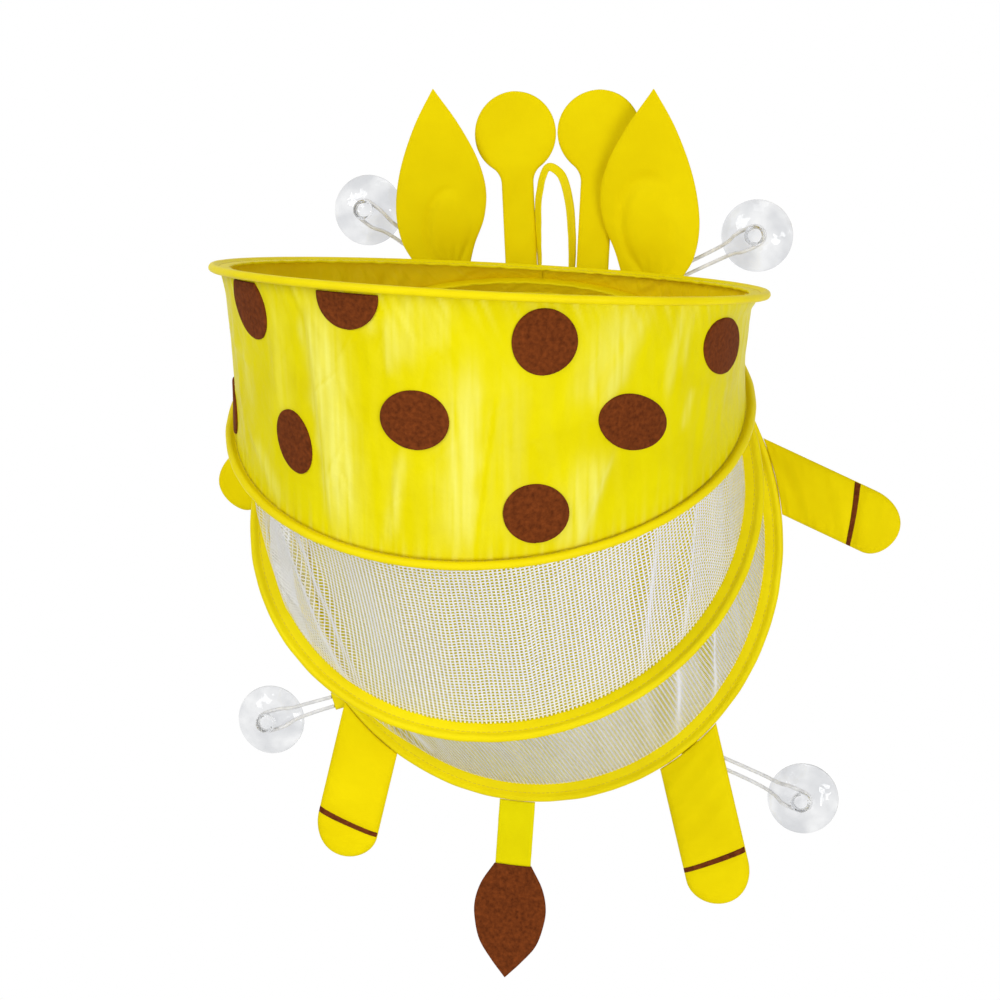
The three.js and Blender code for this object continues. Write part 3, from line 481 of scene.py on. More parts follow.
def add_mesh(name, points, faces, look, flat=None, weld=True):
    mesh = bpy.data.meshes.new(name)
    mesh.from_pydata((points.reshape(-1, 3) * MM).tolist(), [], faces.tolist())
    if flat is not None:
        corners = np.empty(len(mesh.loops), np.int32)
        mesh.loops.foreach_get("vertex_index", corners)
        layer = mesh.uv_layers.new(name="cloth")
        layer.data.foreach_set("uv", (flat.reshape(-1, 2) * MM)[corners].ravel())
    if weld:
        model = bmesh.new()
        model.from_mesh(mesh)
        bmesh.ops.remove_doubles(model, verts=model.verts, dist=2e-6)
        bmesh.ops.recalc_face_normals(model, faces=model.faces)
        model.to_mesh(mesh)
        model.free()
    mesh.polygons.foreach_set("use_smooth", np.ones(len(mesh.polygons), bool))
    mesh.materials.append(look)
    piece = bpy.data.objects.new(name, mesh)
    bpy.context.collection.objects.link(piece)
    return piece


def add_grid(name, points, look, flat=None, weld=True):
    return add_mesh(name, points, grid_faces(*points.shape[:2]), look, flat, weld)


def add_slab(name, top, bottom, look, flat):
    """A closed piece between two grids of points with the same rows and columns."""
    rows, columns = top.shape[:2]
    count = rows * columns
    upper = grid_faces(rows, columns)
    edge = grid_border(rows, columns)
    following = np.roll(edge, -1)
    side = np.stack([edge, edge + count, following + count, following], -1)
    faces = np.concatenate([upper, upper[:, ::-1] + count, side])
    points = np.concatenate([top.reshape(-1, 3), bottom.reshape(-1, 3)])
    return add_mesh(name, points, faces, look, np.concatenate([flat.reshape(-1, 2)] * 2))


def add_strands(name, lines, section, closed, look):
    """Thin strands along lines, each a pair of arrays: its points and the surface normals there. The section
    holds offsets along the normal and sideways, and is closed on a round strand."""
    points = []
    faces = []
    start = 0
    section = np.array(section)
    for line, normals in lines:
        along = unit(np.gradient(line, axis=0))
        aside = unit(np.cross(along, normals))
        out = np.cross(aside, along)
        rings = line[:, None] + section[:, :1] * out[:, None] + section[:, 1:] * aside[:, None]
        points.append(rings.reshape(-1, 3))
        faces.append(grid_faces(*rings.shape[:2], closed) + start)
        start += len(points[-1])
    return add_mesh(name, np.concatenate(points), np.concatenate(faces), look, weld=False)


def finish_piece(piece, slot, *nodes):
    if nodes:
        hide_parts(*nodes)


def thicken(piece):
    """Gives a sheet its thickness, half on each side."""
    cloth = piece.modifiers.new("cloth", "SOLIDIFY")
    cloth.thickness = CLOTH_THICKNESS * MM
    cloth.offset = 0
    return cloth


def running_length(line):
    return np.concatenate([[0], np.linalg.norm(np.diff(line, axis=0), axis=1).cumsum()])


def ripples(rows, along, across=0, seed=0):
    """Wavy lines with fixed phases, from rows of height, slant, wavelength and seed."""
    total = 0
    for rise, slant, wavelength, own_seed in rows:
        chance = np.random.default_rng(seed + own_seed)
        turns = TURN * (along + slant * across) / wavelength
        waves = sum(np.cos(turns * share + chance.uniform(0, TURN)) for share in (0.7, 1.0, 1.45))
        total = total + rise * waves / 2.2
    return total


def smooth(share):
    """From 0 to 1 with level ends."""
    share = np.clip(share, 0, 1)
    return share * share * (3 - 2 * share)


def between(time, early, late, first, last):
    return (late - time) / (late - early) * first + (time - early) / (late - early) * last


def smooth_curve(points, count):
    """A smooth line through points, with steps of the square root of the distance between them."""
    points = np.asarray(points, float)
    padded = np.concatenate([[2 * points[0] - points[1]], points, [2 * points[-1] - points[-2]]])
    result = []
    for k in range(len(points) - 1):
        near = padded[k:k + 4]
        gaps = np.maximum(np.linalg.norm(np.diff(near, axis=0), axis=1), 1e-6) ** 0.5
        times = np.concatenate([[0], gaps.cumsum()])
        time = np.linspace(times[1], times[2], count, endpoint=False)[:, None]
        pairs = [between(time, times[i], times[i + 1], near[i], near[i + 1]) for i in range(3)]
        triples = [between(time, times[i], times[i + 2], pairs[i], pairs[i + 1]) for i in range(2)]
        result.append(between(time, times[1], times[2], *triples))
    result.append(points[-1:])
    return np.concatenate(result)


def outer_edge(degrees, y):
    """A point on the outer edge of the back casing, at an angle from the right."""
    angle = math.radians(degrees)
    return np.array([OUTER_HALF_WIDTH * math.cos(angle), y, OUTER_HALF_HEIGHT * math.sin(angle)])


# Tethers: a doubled cord from a tab behind the back casing round the neck of a cup
def tether_frame(tether):
    start = outer_edge(tether.anchor, 0)
    end = np.array([tether.cup[0], 0, tether.cup[1]])
    along = unit(end - start)
    across = np.array([-along[2], 0, along[0]])
    return SimpleNamespace(start=start, end=end, along=along, across=across,
                           length=np.linalg.norm(end - start))


def tether_points(place, route):
    reach, side, off_wall = np.moveaxis(np.asarray(route, float), -1, 0)
    return (place.start + reach[..., None] * place.along + side[..., None] * place.across
            + off_wall[..., None] * FORWARD)


def add_cord(name, place):
    leaves, half_way, reaches = (place.length - distance for distance in CORD_CLIMB)
    leg = [(CORD_EXIT, CORD_SIDE, CORD_OFF_WALL), (CORD_EXIT + CORD_DIAMETER, CORD_SIDE, CORD_OFF_WALL),
           (leaves, 1.1 * CORD_SIDE, CORD_OFF_WALL),
           (half_way, 1.3 * CORD_SIDE, (CORD_OFF_WALL + CORD_NECK_LEVEL) / 2),
           (reaches, CORD_BEND, CORD_NECK_LEVEL)]
    turn = np.radians(np.arange(90, -91, -30))
    around = [(place.length + CORD_BEND * math.cos(angle), CORD_BEND * math.sin(angle), CORD_NECK_LEVEL)
              for angle in turn]
    back = [(reach, -side, off_wall) for reach, side, off_wall in reversed(leg)]
    line = smooth_curve(tether_points(place, leg + around + back), 6)
    data = bpy.data.curves.new(f"{name}_cord_line", "CURVE")
    data.dimensions = "3D"
    data.bevel_depth = CORD_DIAMETER / 2 * MM
    data.bevel_resolution = 4
    data.use_fill_caps = True
    spline = data.splines.new("POLY")
    spline.points.add(len(line) - 1)
    for point, place_mm in zip(spline.points, line):
        point.co = (*(place_mm * MM), 1)
    data.materials.append(cord_white)
    cord = bpy.data.objects.new(f"{name}_cord_line", data)
    bpy.context.collection.objects.link(cord)
    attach(cord, f"{name}_tether")
    length = running_length(line)[-1] * MM
    finish_piece(cord, "white_cord", f"{name}_cord")


def add_tab(name, place):
    reach = np.linspace(-TAB_INSIDE, TAB_OUTSIDE, 15)
    side = np.linspace(-TAB_HALF_WIDTH, TAB_HALF_WIDTH, 9)
    reach, side = np.meshgrid(reach, side, indexing="ij")
    flat = np.stack([side, reach], -1)
    sag = ripples(TAB_SAG, reach, side)
    hem = 0.5 * (np.abs(side) > TAB_HALF_WIDTH - 0.1)
    front = tether_points(place, np.stack([reach, side, TAB_FRONT + sag - hem], -1))
    back = tether_points(place, np.stack([reach, side, TAB_BACK + sag * 0.3], -1))
    tab = add_slab(f"{name}_tape_tab", front, back, tape, flat)
    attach(tab, f"{name}_tether")
    finish_piece(tab, "yellow_cloth", f"{name}_tab")


def cup_profile():
    """Radius and height over the wall, from the knob's top over the dome and lip to the hollow's middle."""
    corner = np.radians(np.linspace(90, 0, 6))
    knob = [(0.01, 17.0), (3.0, 17.0)]
    knob += [(5.1 + 1.4 * math.cos(a), 15.6 + 1.4 * math.sin(a)) for a in corner]
    knob += [(6.5, 13.6), (6.2, 12.9), (5.2, 12.5)]
    neck = [(4.4, 12.1), (4.2, 11.0), (4.2, 9.6), (4.6, 8.7)]
    radius = np.linspace(6, CUP_RADIUS - 0.6, 22)
    dome = [(r, 1.1 + 7.3 * (1 - ((r - 6) / 17) ** 1.9)) for r in radius]
    lip = [(CUP_RADIUS - 0.2, 0.9), (CUP_RADIUS, 0.5), (CUP_RADIUS - 0.1, 0.1), (CUP_RADIUS - 0.6, 0.0)]
    inside = np.linspace(CUP_HOLLOW_RADIUS, 0.01, 20)
    hollow = [(r, 4.2 * (1 - (r / CUP_HOLLOW_RADIUS) ** 2)) for r in inside]
    return knob + neck + dome + lip + hollow


def add_cup(name, tether):
    radius, height = np.array(cup_profile()).T[..., None]
    angles = np.linspace(0, TURN, 73)
    x = tether.cup[0] + radius * np.cos(angles)
    z = tether.cup[1] + radius * np.sin(angles)
    points = np.stack(np.broadcast_arrays(x, -height, z), -1)
    cup = add_grid(f"{name}_vinyl_cup", points, vinyl)
    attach(cup, f"{name}_sucker")
    finish_piece(cup, "clear_vinyl", f"{name}_cup")


for name, tether in TETHERS.items():
    place = tether_frame(tether)
    add_cord(name, place)
    add_tab(name, place)
    add_cup(name, tether)


# Hoops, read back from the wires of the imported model
def node_points(name):
    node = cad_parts[name]
    points = np.empty(len(node.data.vertices) * 3)
    node.data.vertices.foreach_get("co", points)
    world = np.array(node.matrix_world)
    return (points.reshape(-1, 3) @ world[:3, :3].T + world[:3, 3]) / MM


def read_hoop(name):
    points = node_points(f"{name}_wire")
    middle = points[np.abs(points[:, 0]) < 1]
    away = np.linalg.norm(middle - HINGE_TOP, axis=1)
    near = middle[away < 100].mean(axis=0)
    far = middle[away >= 100].mean(axis=0)
    down = unit(far - near)
    return SimpleNamespace(name=name, centre=(near + far) / 2, down=down, normal=np.cross(down, RIGHT),
                           half_length=np.linalg.norm(far - near) / 2,
                           half_width=points[:, 0].max() - WIRE_RADIUS)


def hoop_points(hoop, turn, outside, above):
    """Points near a hoop: turn from its hinge side, distance outside its wire line and above its plane."""
    arrays = np.broadcast_arrays(turn, outside, above)
    turn, outside, above = (np.asarray(values, float)[..., None] for values in arrays)
    return (hoop.centre - np.cos(turn) * (hoop.half_length + outside) * hoop.down + above * hoop.normal
            + np.sin(turn) * (hoop.half_width + outside) * RIGHT)


hoops = {name: read_hoop(name) for name in ("rim", "second", "third", "back")}
BODIES = {"rim": "rim_hoop", "second": "second_hoop", "third": "third_hoop", "back": "back_frame"}


def add_casing(hoop):
    """Folded tape: round the wire at the outer edge, two layers sewn together in to the seam."""
    bulge = np.radians(np.linspace(125, -125, 15))
    upper = [(FLANGE_INNER, 0.25), (FLANGE_INNER + 0.3, 0.7), (-8.5, FLANGE_HALF), (-6.5, FLANGE_HALF),
             (-4.4, FLANGE_HALF), (-3.4, 0.6), (-2.6, 0.9)]
    round_wire = [(BULGE_RADIUS * math.cos(a), BULGE_RADIUS * math.sin(a)) for a in bulge]
    lower = [(outside, -above) for outside, above in reversed(upper)]
    profile = np.array(upper + round_wire + lower + upper[:1])
    turn = np.linspace(0, TURN, 481)
    along = turn * hoop.half_width
    seed = list(hoops).index(hoop.name)
    loose = np.clip((-2 - profile[:, 0]) / 8, 0, 1)[:, None]
    outside = profile[:, :1] + ripples(CASING_SLACK, along, seed=seed)
    above = profile[:, 1:] + loose * ripples(CASING_PUCKERS, along, seed=seed)
    points = hoop_points(hoop, turn[None], outside, above)
    flat = np.stack(np.broadcast_arrays(along[None], running_length(profile)[:, None]), -1)
    casing = add_grid(f"{hoop.name}_tape_casing", points, tape, flat)
    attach(casing, BODIES[hoop.name])
    finish_piece(casing, "yellow_cloth", f"{hoop.name}_casing")


def add_stitches(hoop):
    """The line of stitches that closes the casing next to the wire, on both faces."""
    count = int(TURN * hoop.half_width / STITCH_PITCH)
    lines = []
    for face in (1, -1):
        for k in range(count):
            middle = (k + 0.5) / count * TURN
            half = STITCH_LENGTH / 2 / hoop.half_width
            turn = middle + np.linspace(-half, half, len(STITCH_LEVELS))
            line = hoop_points(hoop, turn, STITCH_OUTSIDE, face * STITCH_LEVELS)
            lines.append((line, np.tile(face * hoop.normal, (len(line), 1))))
    angles = np.arange(STITCH_SIDES) * TURN / STITCH_SIDES
    section = STITCH_RADIUS * np.stack([np.cos(angles), np.sin(angles)], -1)
    stitches = add_strands(f"{hoop.name}_stitches", lines, section, True, stitch_yellow)
    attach(stitches, BODIES[hoop.name])
    finish_piece(stitches, "yellow_cloth")


for hoop in hoops.values():
    add_casing(hoop)
    add_stitches(hoop)


# Cloth walls between two hoops
def wall_points(wall, turn, down):
    turn, down = np.broadcast_arrays(np.asarray(turn, float), np.asarray(down, float))
    top = hoop_points(wall.upper, turn, wall.top_outside, -SEAM_ABOVE)
    bottom = hoop_points(wall.lower, turn, wall.bottom_outside, SEAM_ABOVE)
    share = down[..., None]
    points = top + (bottom - top) * share
    inward = unit(wall.upper.centre + (wall.lower.centre - wall.upper.centre) * share - points)
    fullness = (4 * down * (1 - down) * np.sin(turn / 2) ** 2)[..., None]
    return points + wall.waist * fullness * inward


def wall_normals(wall, turn, down):
    step = 0.01
    along = wall_points(wall, turn + step, down) - wall_points(wall, turn - step, down)
    across = wall_points(wall, turn, down + step) - wall_points(wall, turn, down - step)
    return unit(np.cross(along, across))


def wall_height(wall, turn):
    return np.linalg.norm(wall_points(wall, turn, 1.0) - wall_points(wall, turn, 0.0), axis=-1)


def fold_with(piece, wall):
    """Bakes the piece's placement into its mesh; the middle points of the wall's bottom and top are worked
    out but not used.
    """
    bottom = wall_points(wall, math.pi, 1.0) * MM
    top = wall_points(wall, math.pi, 0.0) * MM
    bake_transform(piece)


def make_wall(upper, lower, waist, top_outside=SEAM_OUTSIDE, bottom_outside=SEAM_OUTSIDE):
    return SimpleNamespace(upper=hoops[upper], lower=hoops[lower], waist=waist, top_outside=top_outside,
                           bottom_outside=bottom_outside,
                           seams=[f"{upper}_tape_casing", f"{lower}_tape_casing"])


band_wall = make_wall("rim", "second", BAND_WAIST, RIM_SEAM_OUTSIDE, BAND_SEAM_OUTSIDE)
middle_wall = make_wall("second", "third", NET_WAIST)
lower_wall = make_wall("third", "back", NET_WAIST)
BAND_RADIUS = band_wall.upper.half_width + SEAM_OUTSIDE


def degrees_round(turn):
    """Degrees round from the front, to the right, from the turn from the hinge."""
    return np.degrees(math.pi - turn)


def beside_line(around, below_rim, height, first, first_down, last, last_down):
    """Where cloth of the band lies by a line on it: share of the way along, distance to its right, drop."""
    run = math.radians(last - first) * BAND_RADIUS
    drop = (last_down - first_down) * height
    long = np.hypot(run, drop) + 1e-6
    aside = np.radians(around - first) * BAND_RADIUS
    below = (below_rim - first_down) * height
    return (aside * run + below * drop) / long ** 2, (aside * drop - below * run) / long, below


def fade_ends(reach, steepness):
    return 1 / (1 + np.exp(-reach * steepness)) / (1 + np.exp((reach - 1) * steepness))


def band_relief(turn, down):
    """How far the satin stands out: long folds, short creases, puckers at the seams, calm under the spots."""
    turn, down = np.broadcast_arrays(np.asarray(turn, float), np.asarray(down, float))
    along = turn * BAND_RADIUS
    height = wall_height(band_wall, turn)
    around = degrees_round(turn)
    relief = np.zeros_like(along)
    for *line, left, right, rise in BAND_FOLDS:
        reach, off, _ = beside_line(around, down, height, *line)
        crease = np.exp(-(off / np.where(off > 0, right, left)) ** 2)
        relief += rise * crease * fade_ends(reach, 22)
    chance = np.random.default_rng(CREASE_SEED)
    for _ in range(CREASE_COUNT):
        place = math.radians(chance.uniform(-80, 80)) * BAND_RADIUS
        level, angle = chance.uniform(0.08, 0.92), chance.normal(0, 0.7)
        long, wide, rise = chance.uniform(5, 14), chance.uniform(1.0, 2.4), chance.uniform(-0.6, 0.6)
        aside = (math.pi - turn) * BAND_RADIUS - place
        drop = (down - level) * height
        along_crease = drop * math.cos(angle) + aside * math.sin(angle)
        across_crease = aside * math.cos(angle) - drop * math.sin(angle)
        relief += rise * np.exp(-(along_crease / long) ** 2 - (across_crease / wide) ** 2)
    relief += ripples(BAND_RIPPLES, along, down)
    relief *= np.sin(math.pi * np.clip(down, 0, 1)) ** 0.6
    from_top = down * height
    from_bottom = (1 - down) * height
    at_top = np.exp(-from_top / 12) * np.clip(from_top / 4, 0, 1)
    at_bottom = np.exp(-from_bottom / 9) * np.clip(from_bottom / 4, 0, 1)
    relief += ripples(BAND_TOP_PUCKERS, along, from_top) * at_top
    relief += ripples(BAND_HEM_PUCKERS, along) * at_bottom
    for spot_around, spot_down, wide, tall in SPOTS:
        aside = (around - spot_around) * math.radians(BAND_RADIUS) / (wide / 2)
        drop = (down - spot_down) * height / (tall / 2)
        relief *= 1 - SPOT_CALM * np.exp(-(np.hypot(aside, drop) / 1.15) ** 8)
    crumple = 0.08 * height * ripples(BAND_CRUMPLE, along, down)
    at_hinge = crumple * np.sin(math.pi * np.clip(down, 0, 1)) * np.cos(turn / 2) ** 10
    level = smooth(down / 0.16) * (1 - smooth((down - 0.62) / 0.38))
    drawn_in = sum(depth * level * np.exp(-((around - middle) / 20) ** 2) for middle, depth in BAND_DRAWN_IN)
    return relief * np.sin(turn / 2) ** 2 + at_hinge - drawn_in


def band_painted_highlight(turn, down):
    """Painted sheen of the satin, highlights painted as pale colour: 0 on the plain cloth, 1 along the middle
    of a fold that catches the light.
    """
    height = wall_height(band_wall, turn)
    around = degrees_round(turn)
    along = turn * BAND_RADIUS
    sheen_paint = np.zeros_like(along)
    for *line, half, left, right, strength in BAND_PAINTED_HIGHLIGHTS:
        reach, off, below = beside_line(around, down, height, *line)
        off = off + half * ripples(PAINTED_SHEEN_WANDER, below, line[0])
        sides = 1 / (1 + np.exp(-(off + half) / left)) / (1 + np.exp((off - half) / right))
        sheen_paint += strength * fade_ends(reach, 16) * sides
    streaks = 0.72 + ripples(PAINTED_SHEEN_STREAKS, along, down)
    # Painted highlight on the fold slopes that face one way, as if light fell on that side
    step = 0.6
    ahead, behind = (band_relief(turn + way * step / BAND_RADIUS, down) for way in (1, -1))
    slope = (ahead - behind) / (2 * step)
    creased = 1.1 * np.clip(slope, -0.25, 0.4) * (0.12 + sheen_paint) * np.sin(turn / 2) ** 2
    # Painted glints on the puckers by the top seam and by the hem
    painted_glints = 0.5 * np.clip(ripples(TOP_PAINTED_GLINTS, along, down * height), 0, 1) * np.exp(-down * height / 8)
    painted_glints += 0.45 * np.clip(ripples(HEM_PAINTED_GLINTS, along), 0, 1) * np.exp((down - 1) * height / 6)
    cloudy = ripples(PAINTED_SHEEN_CLOUDS, along, down)
    return np.clip(sheen_paint * streaks + creased + painted_glints + cloudy, 0, 1)


def band_points(turn, down, outside):
    offset = (band_relief(turn, down) + outside)[..., None]
    return wall_points(band_wall, turn, down) + offset * wall_normals(band_wall, turn, down)


def add_band():
    turns = np.linspace(0, TURN, BAND_COLUMNS)
    turn, down = np.meshgrid(turns, np.linspace(0, 1, BAND_ROWS), indexing="xy")
    points = band_points(turn, down, 0 * turn)
    flat = np.stack([turn * BAND_RADIUS, down * wall_height(band_wall, turn)], -1)
    band = add_grid("satin_band", points, satin_painted_highlights, flat, weld=False)
    # The painted sheen goes on as a per-point attribute that the band's satin mixes in
    painted_highlight_attribute = band.data.attributes.new("sheen_paint", "FLOAT", "POINT")
    painted_highlight_attribute.data.foreach_set("value", band_painted_highlight(turn, down).ravel())
    fold_with(band, band_wall)
    # The band's inner face takes the orange copy of the satin, as painted shade
    band.data.materials.append(satin_painted_shade)
    thicken(band).material_offset = 1
    mean = wall_height(band_wall, np.linspace(0, TURN, 361)).mean()
    wall_height(band_wall, math.pi)
    finish_piece(band, "yellow_cloth", "upper_band")


def add_spot(index, around, down, wide, tall):
    """A felt disc that follows the satin, cut straight where it meets a seam."""
    turn = math.pi - math.radians(around)
    height = float(wall_height(band_wall, turn))
    angle = np.linspace(0, TURN, 97)
    share = np.concatenate([np.linspace(0, 0.9, 16), [0.95, 0.98, 1.0, 1.0]])
    rise = np.concatenate([np.full(16, 1.0), [0.97, 0.8, 0.45, -0.3]]) * SPOT_THICKNESS + 0.35
    edge = 1 + ripples(SPOT_EDGE, angle, seed=index)
    aside = share[:, None] * wide / 2 * (edge * np.sin(angle))[None]
    drop = share[:, None] * tall / 2 * (edge * np.cos(angle))[None]
    lean, sink = SPOT_LEANS.get(index, (0, 0))
    aside, drop = aside + lean * drop, drop + sink * aside
    drop = np.clip(drop, SPOT_SEAM_MARGIN - down * height, (1 - down) * height - SPOT_SEAM_MARGIN)
    spot_turns = turn - aside / BAND_RADIUS
    downs = down + drop / height
    points = band_points(spot_turns, downs, rise[:, None] + 0 * aside)
    flat = np.stack([aside, drop], -1)
    spot = add_grid(f"felt_disc_{index}", points, felt, flat, weld=False)
    fold_with(spot, band_wall)
    finish_piece(spot, "brown_felt", f"felt_spot_{index}")


add_band()
for index, spot in enumerate(SPOTS, start=1):
    add_spot(index, *spot)


def net_columns(wall, gathers):
    """Turns of the net's upright threads, closer together where the net is gathered."""
    radius = wall.lower.half_width + SEAM_OUTSIDE
    fine = np.linspace(GUSSET_TURN, TURN - GUSSET_TURN, 4001)
    around = degrees_round(fine)
    density = np.ones_like(fine)
    for middle, half, extra in gathers:
        density += extra * np.exp(-((around - middle) / half) ** 2)
    running = np.concatenate([[0], (0.5 * (density[1:] + density[:-1]) * np.diff(fine)).cumsum()])
    count = int(running[-1] * radius / NET_PITCH)
    return np.interp(np.linspace(0, running[-1], count + 1), running, fine)


def net_relief(wall, turn, down, seed):
    along = turn * wall.lower.half_width
    sway = ripples(NET_SWAY, along, down, seed)
    around = degrees_round(turn)
    for first, last, half, rise in NET_FOLDS:
        off = np.radians(around - first - (last - first) * down) * wall.lower.half_width
        sway = sway + rise * np.exp(-(off / np.where(off > 0, half, 2 * half)) ** 2)
    return sway * np.sin(math.pi * np.clip(down, 0, 1)) ** 0.7 * np.sin(turn / 2) ** 2


def add_net(name, wall, gathers, seed):
    turns = net_columns(wall, gathers)
    heights = wall_height(wall, turns)
    lines = []

    def add_line(turn, down, lift):
        normals = wall_normals(wall, turn, down)
        lifted = net_relief(wall, turn, down, seed) + lift
        lines.append((wall_points(wall, turn, down) + lifted[..., None] * normals, normals))

    for turn, height in zip(turns, heights):
        steps = np.append(np.arange(0, height - 0.5 * NET_PITCH, NET_PITCH), height)
        add_line(np.full(len(steps), turn), 1 - steps / height, -0.1)
    for level in np.arange(NET_PITCH, heights.max(), NET_PITCH):
        inside = heights > level
        if inside.sum() > 3:
            add_line(turns[inside], 1 - level / heights[inside], 0.1)
    section = [(0, -NET_THREAD_WIDTH / 2), (0, NET_THREAD_WIDTH / 2)]
    net = add_strands(f"{name}_net", lines, section, False, net_white)
    fold_with(net, wall)
    finish_piece(net, "white_net", *[f"{name}_mesh_{panel}" for panel in range(1, 5)])


def add_gusset(name, wall, seed):
    """The cloth that closes a net wall on both sides of the hinge, crumpled where the hoops meet."""
    turns = np.linspace(-GUSSET_TURN, GUSSET_TURN, 161)
    turn, down = np.meshgrid(turns, np.linspace(0, 1, 25), indexing="xy")
    along = turn * wall.lower.half_width
    height = wall_height(wall, turn)
    crumple = 0.06 * height * ripples(GUSSET_CRUMPLE, along, down, seed)
    relief = crumple * np.sin(math.pi * down)
    points = wall_points(wall, turn, down) + relief[..., None] * wall_normals(wall, turn, down)
    flat = np.stack([along, down * height], -1)
    # Made of the orange copy of the satin, as painted shade of the basket's inside
    gusset = add_grid(f"{name}_gusset_cloth", points, satin_painted_shade, flat, weld=False)
    fold_with(gusset, wall)
    thicken(gusset)
    finish_piece(gusset, "yellow_cloth", f"{name}_gusset")


add_net("middle", middle_wall, MIDDLE_GATHERS, 31)
add_net("lower", lower_wall, LOWER_GATHERS, 33)
add_gusset("middle", middle_wall, 35)
add_gusset("lower", lower_wall, 37)


def add_panel():
    """The back panel: flat on the wall, rising at its edge to the back of the casing."""
    hoop = hoops["back"]
    rim = FLANGE_INNER + PANEL_LAP
    flat_edge = rim - PANEL_SLOPE_WIDTH
    share = np.concatenate([np.linspace(0, 1, 40), np.linspace(1.02, 1.2, 12)])
    turn = np.linspace(0, TURN, 181)
    inner = np.minimum(share, 1)
    climb = np.clip((share - 1) / 0.2, 0, 1)
    lift = PANEL_LIFT + PANEL_CLIMB * climb ** 1.5
    wavy = PANEL_WAVE_RISE * sum(np.cos(count * turn + phase) for count, phase in PANEL_WAVES)
    waves = wavy[None] * np.sin(math.pi * np.clip(share - 0.25, 0, 0.95) / 0.95)[:, None]
    above = np.maximum(lift[:, None] + waves, PANEL_LOWEST) - BACK_STANDOFF
    long = (inner * (hoop.half_length + flat_edge) + climb * (rim - flat_edge))[:, None, None]
    wide = (inner * (hoop.half_width + flat_edge) + climb * (rim - flat_edge))[:, None, None]
    points = (hoop.centre - np.cos(turn)[None, :, None] * long * hoop.down + above[..., None] * hoop.normal
              + np.sin(turn)[None, :, None] * wide * RIGHT)
    flat = points[..., [0, 2]]
    panel = add_grid("back_cloth", points, satin, flat)
    thicken(panel)
    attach(panel, "back_frame")
    wide = 2 * (hoop.half_width + rim) * MM
    finish_piece(panel, "yellow_cloth", "back_panel")


add_panel()


# Padded limbs, sewn to the outer edge of the back casing
def limb_frame(root, heading, tilt=0.0):
    start = outer_edge(root, -BACK_STANDOFF)
    ahead = math.radians(heading)
    along = np.array([math.cos(ahead), 0, math.sin(ahead)])
    across = np.array([-along[2], 0, along[0]])
    return SimpleNamespace(start=start, along=along, across=across, rise=math.tan(math.radians(tilt)))


def root_reach(place, side):
    """How far along a limb its edge at a side offset meets the casing."""
    x = place.start[0] + side * place.across[0]
    z = place.start[2] + side * place.across[2]
    wide = OUTER_HALF_WIDTH ** -2
    tall = OUTER_HALF_HEIGHT ** -2
    a = place.along[0] ** 2 * wide + place.along[2] ** 2 * tall
    b = x * place.along[0] * wide + z * place.along[2] * tall
    c = x ** 2 * wide + z ** 2 * tall - 1
    return (np.sqrt(np.maximum(0, b * b - a * c)) - b) / a


def limb_points(place, length, reach, side, forward):
    start = root_reach(place, side)
    along = start + (length - start) * (reach / length)
    return (place.start + along[..., None] * place.along + side[..., None] * place.across
            + (forward + along * place.rise)[..., None] * FORWARD)


SHARES = np.sin(np.linspace(-math.pi / 2, math.pi / 2, 41))


def add_pillow(name, place, length, reach, half, front, back, look):
    """A padded piece through rows of reach and half width. front and back give the padding in front of
    and behind the sewn edge, from arrays of reach, side offset and share of the half width."""
    reach = np.repeat(reach[:, None], len(SHARES), 1)
    share = np.repeat(SHARES[None], len(reach), 0)
    side = half[:, None] * share
    face = limb_points(place, length, reach, side, front(reach, side, share))
    rear = limb_points(place, length, reach, side, -back(reach, side, share))
    return add_slab(name, face, rear, look, np.stack([side, reach], -1))


def add_padding(name, place, length, reach, half, front, back):
    pillow = add_pillow(f"{name}_padding", place, length, reach, half, front, back, plush)
    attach(pillow, f"{name}_flap")
    finish_piece(pillow, "yellow_cloth", name)


def crown(share, power=4):
    """The height of a padded piece across it: 1 in the middle and 0 at its sewn edges."""
    return np.clip(1 - share ** power, 0, 1) ** 0.5


def seam_edge(share, steepness):
    """A narrow strip along the sewn edges, where the seam puckers."""
    inside = 1 - np.abs(share)
    return np.exp(-inside * steepness) * np.sin(math.pi * np.clip(inside, 0, 0.5))


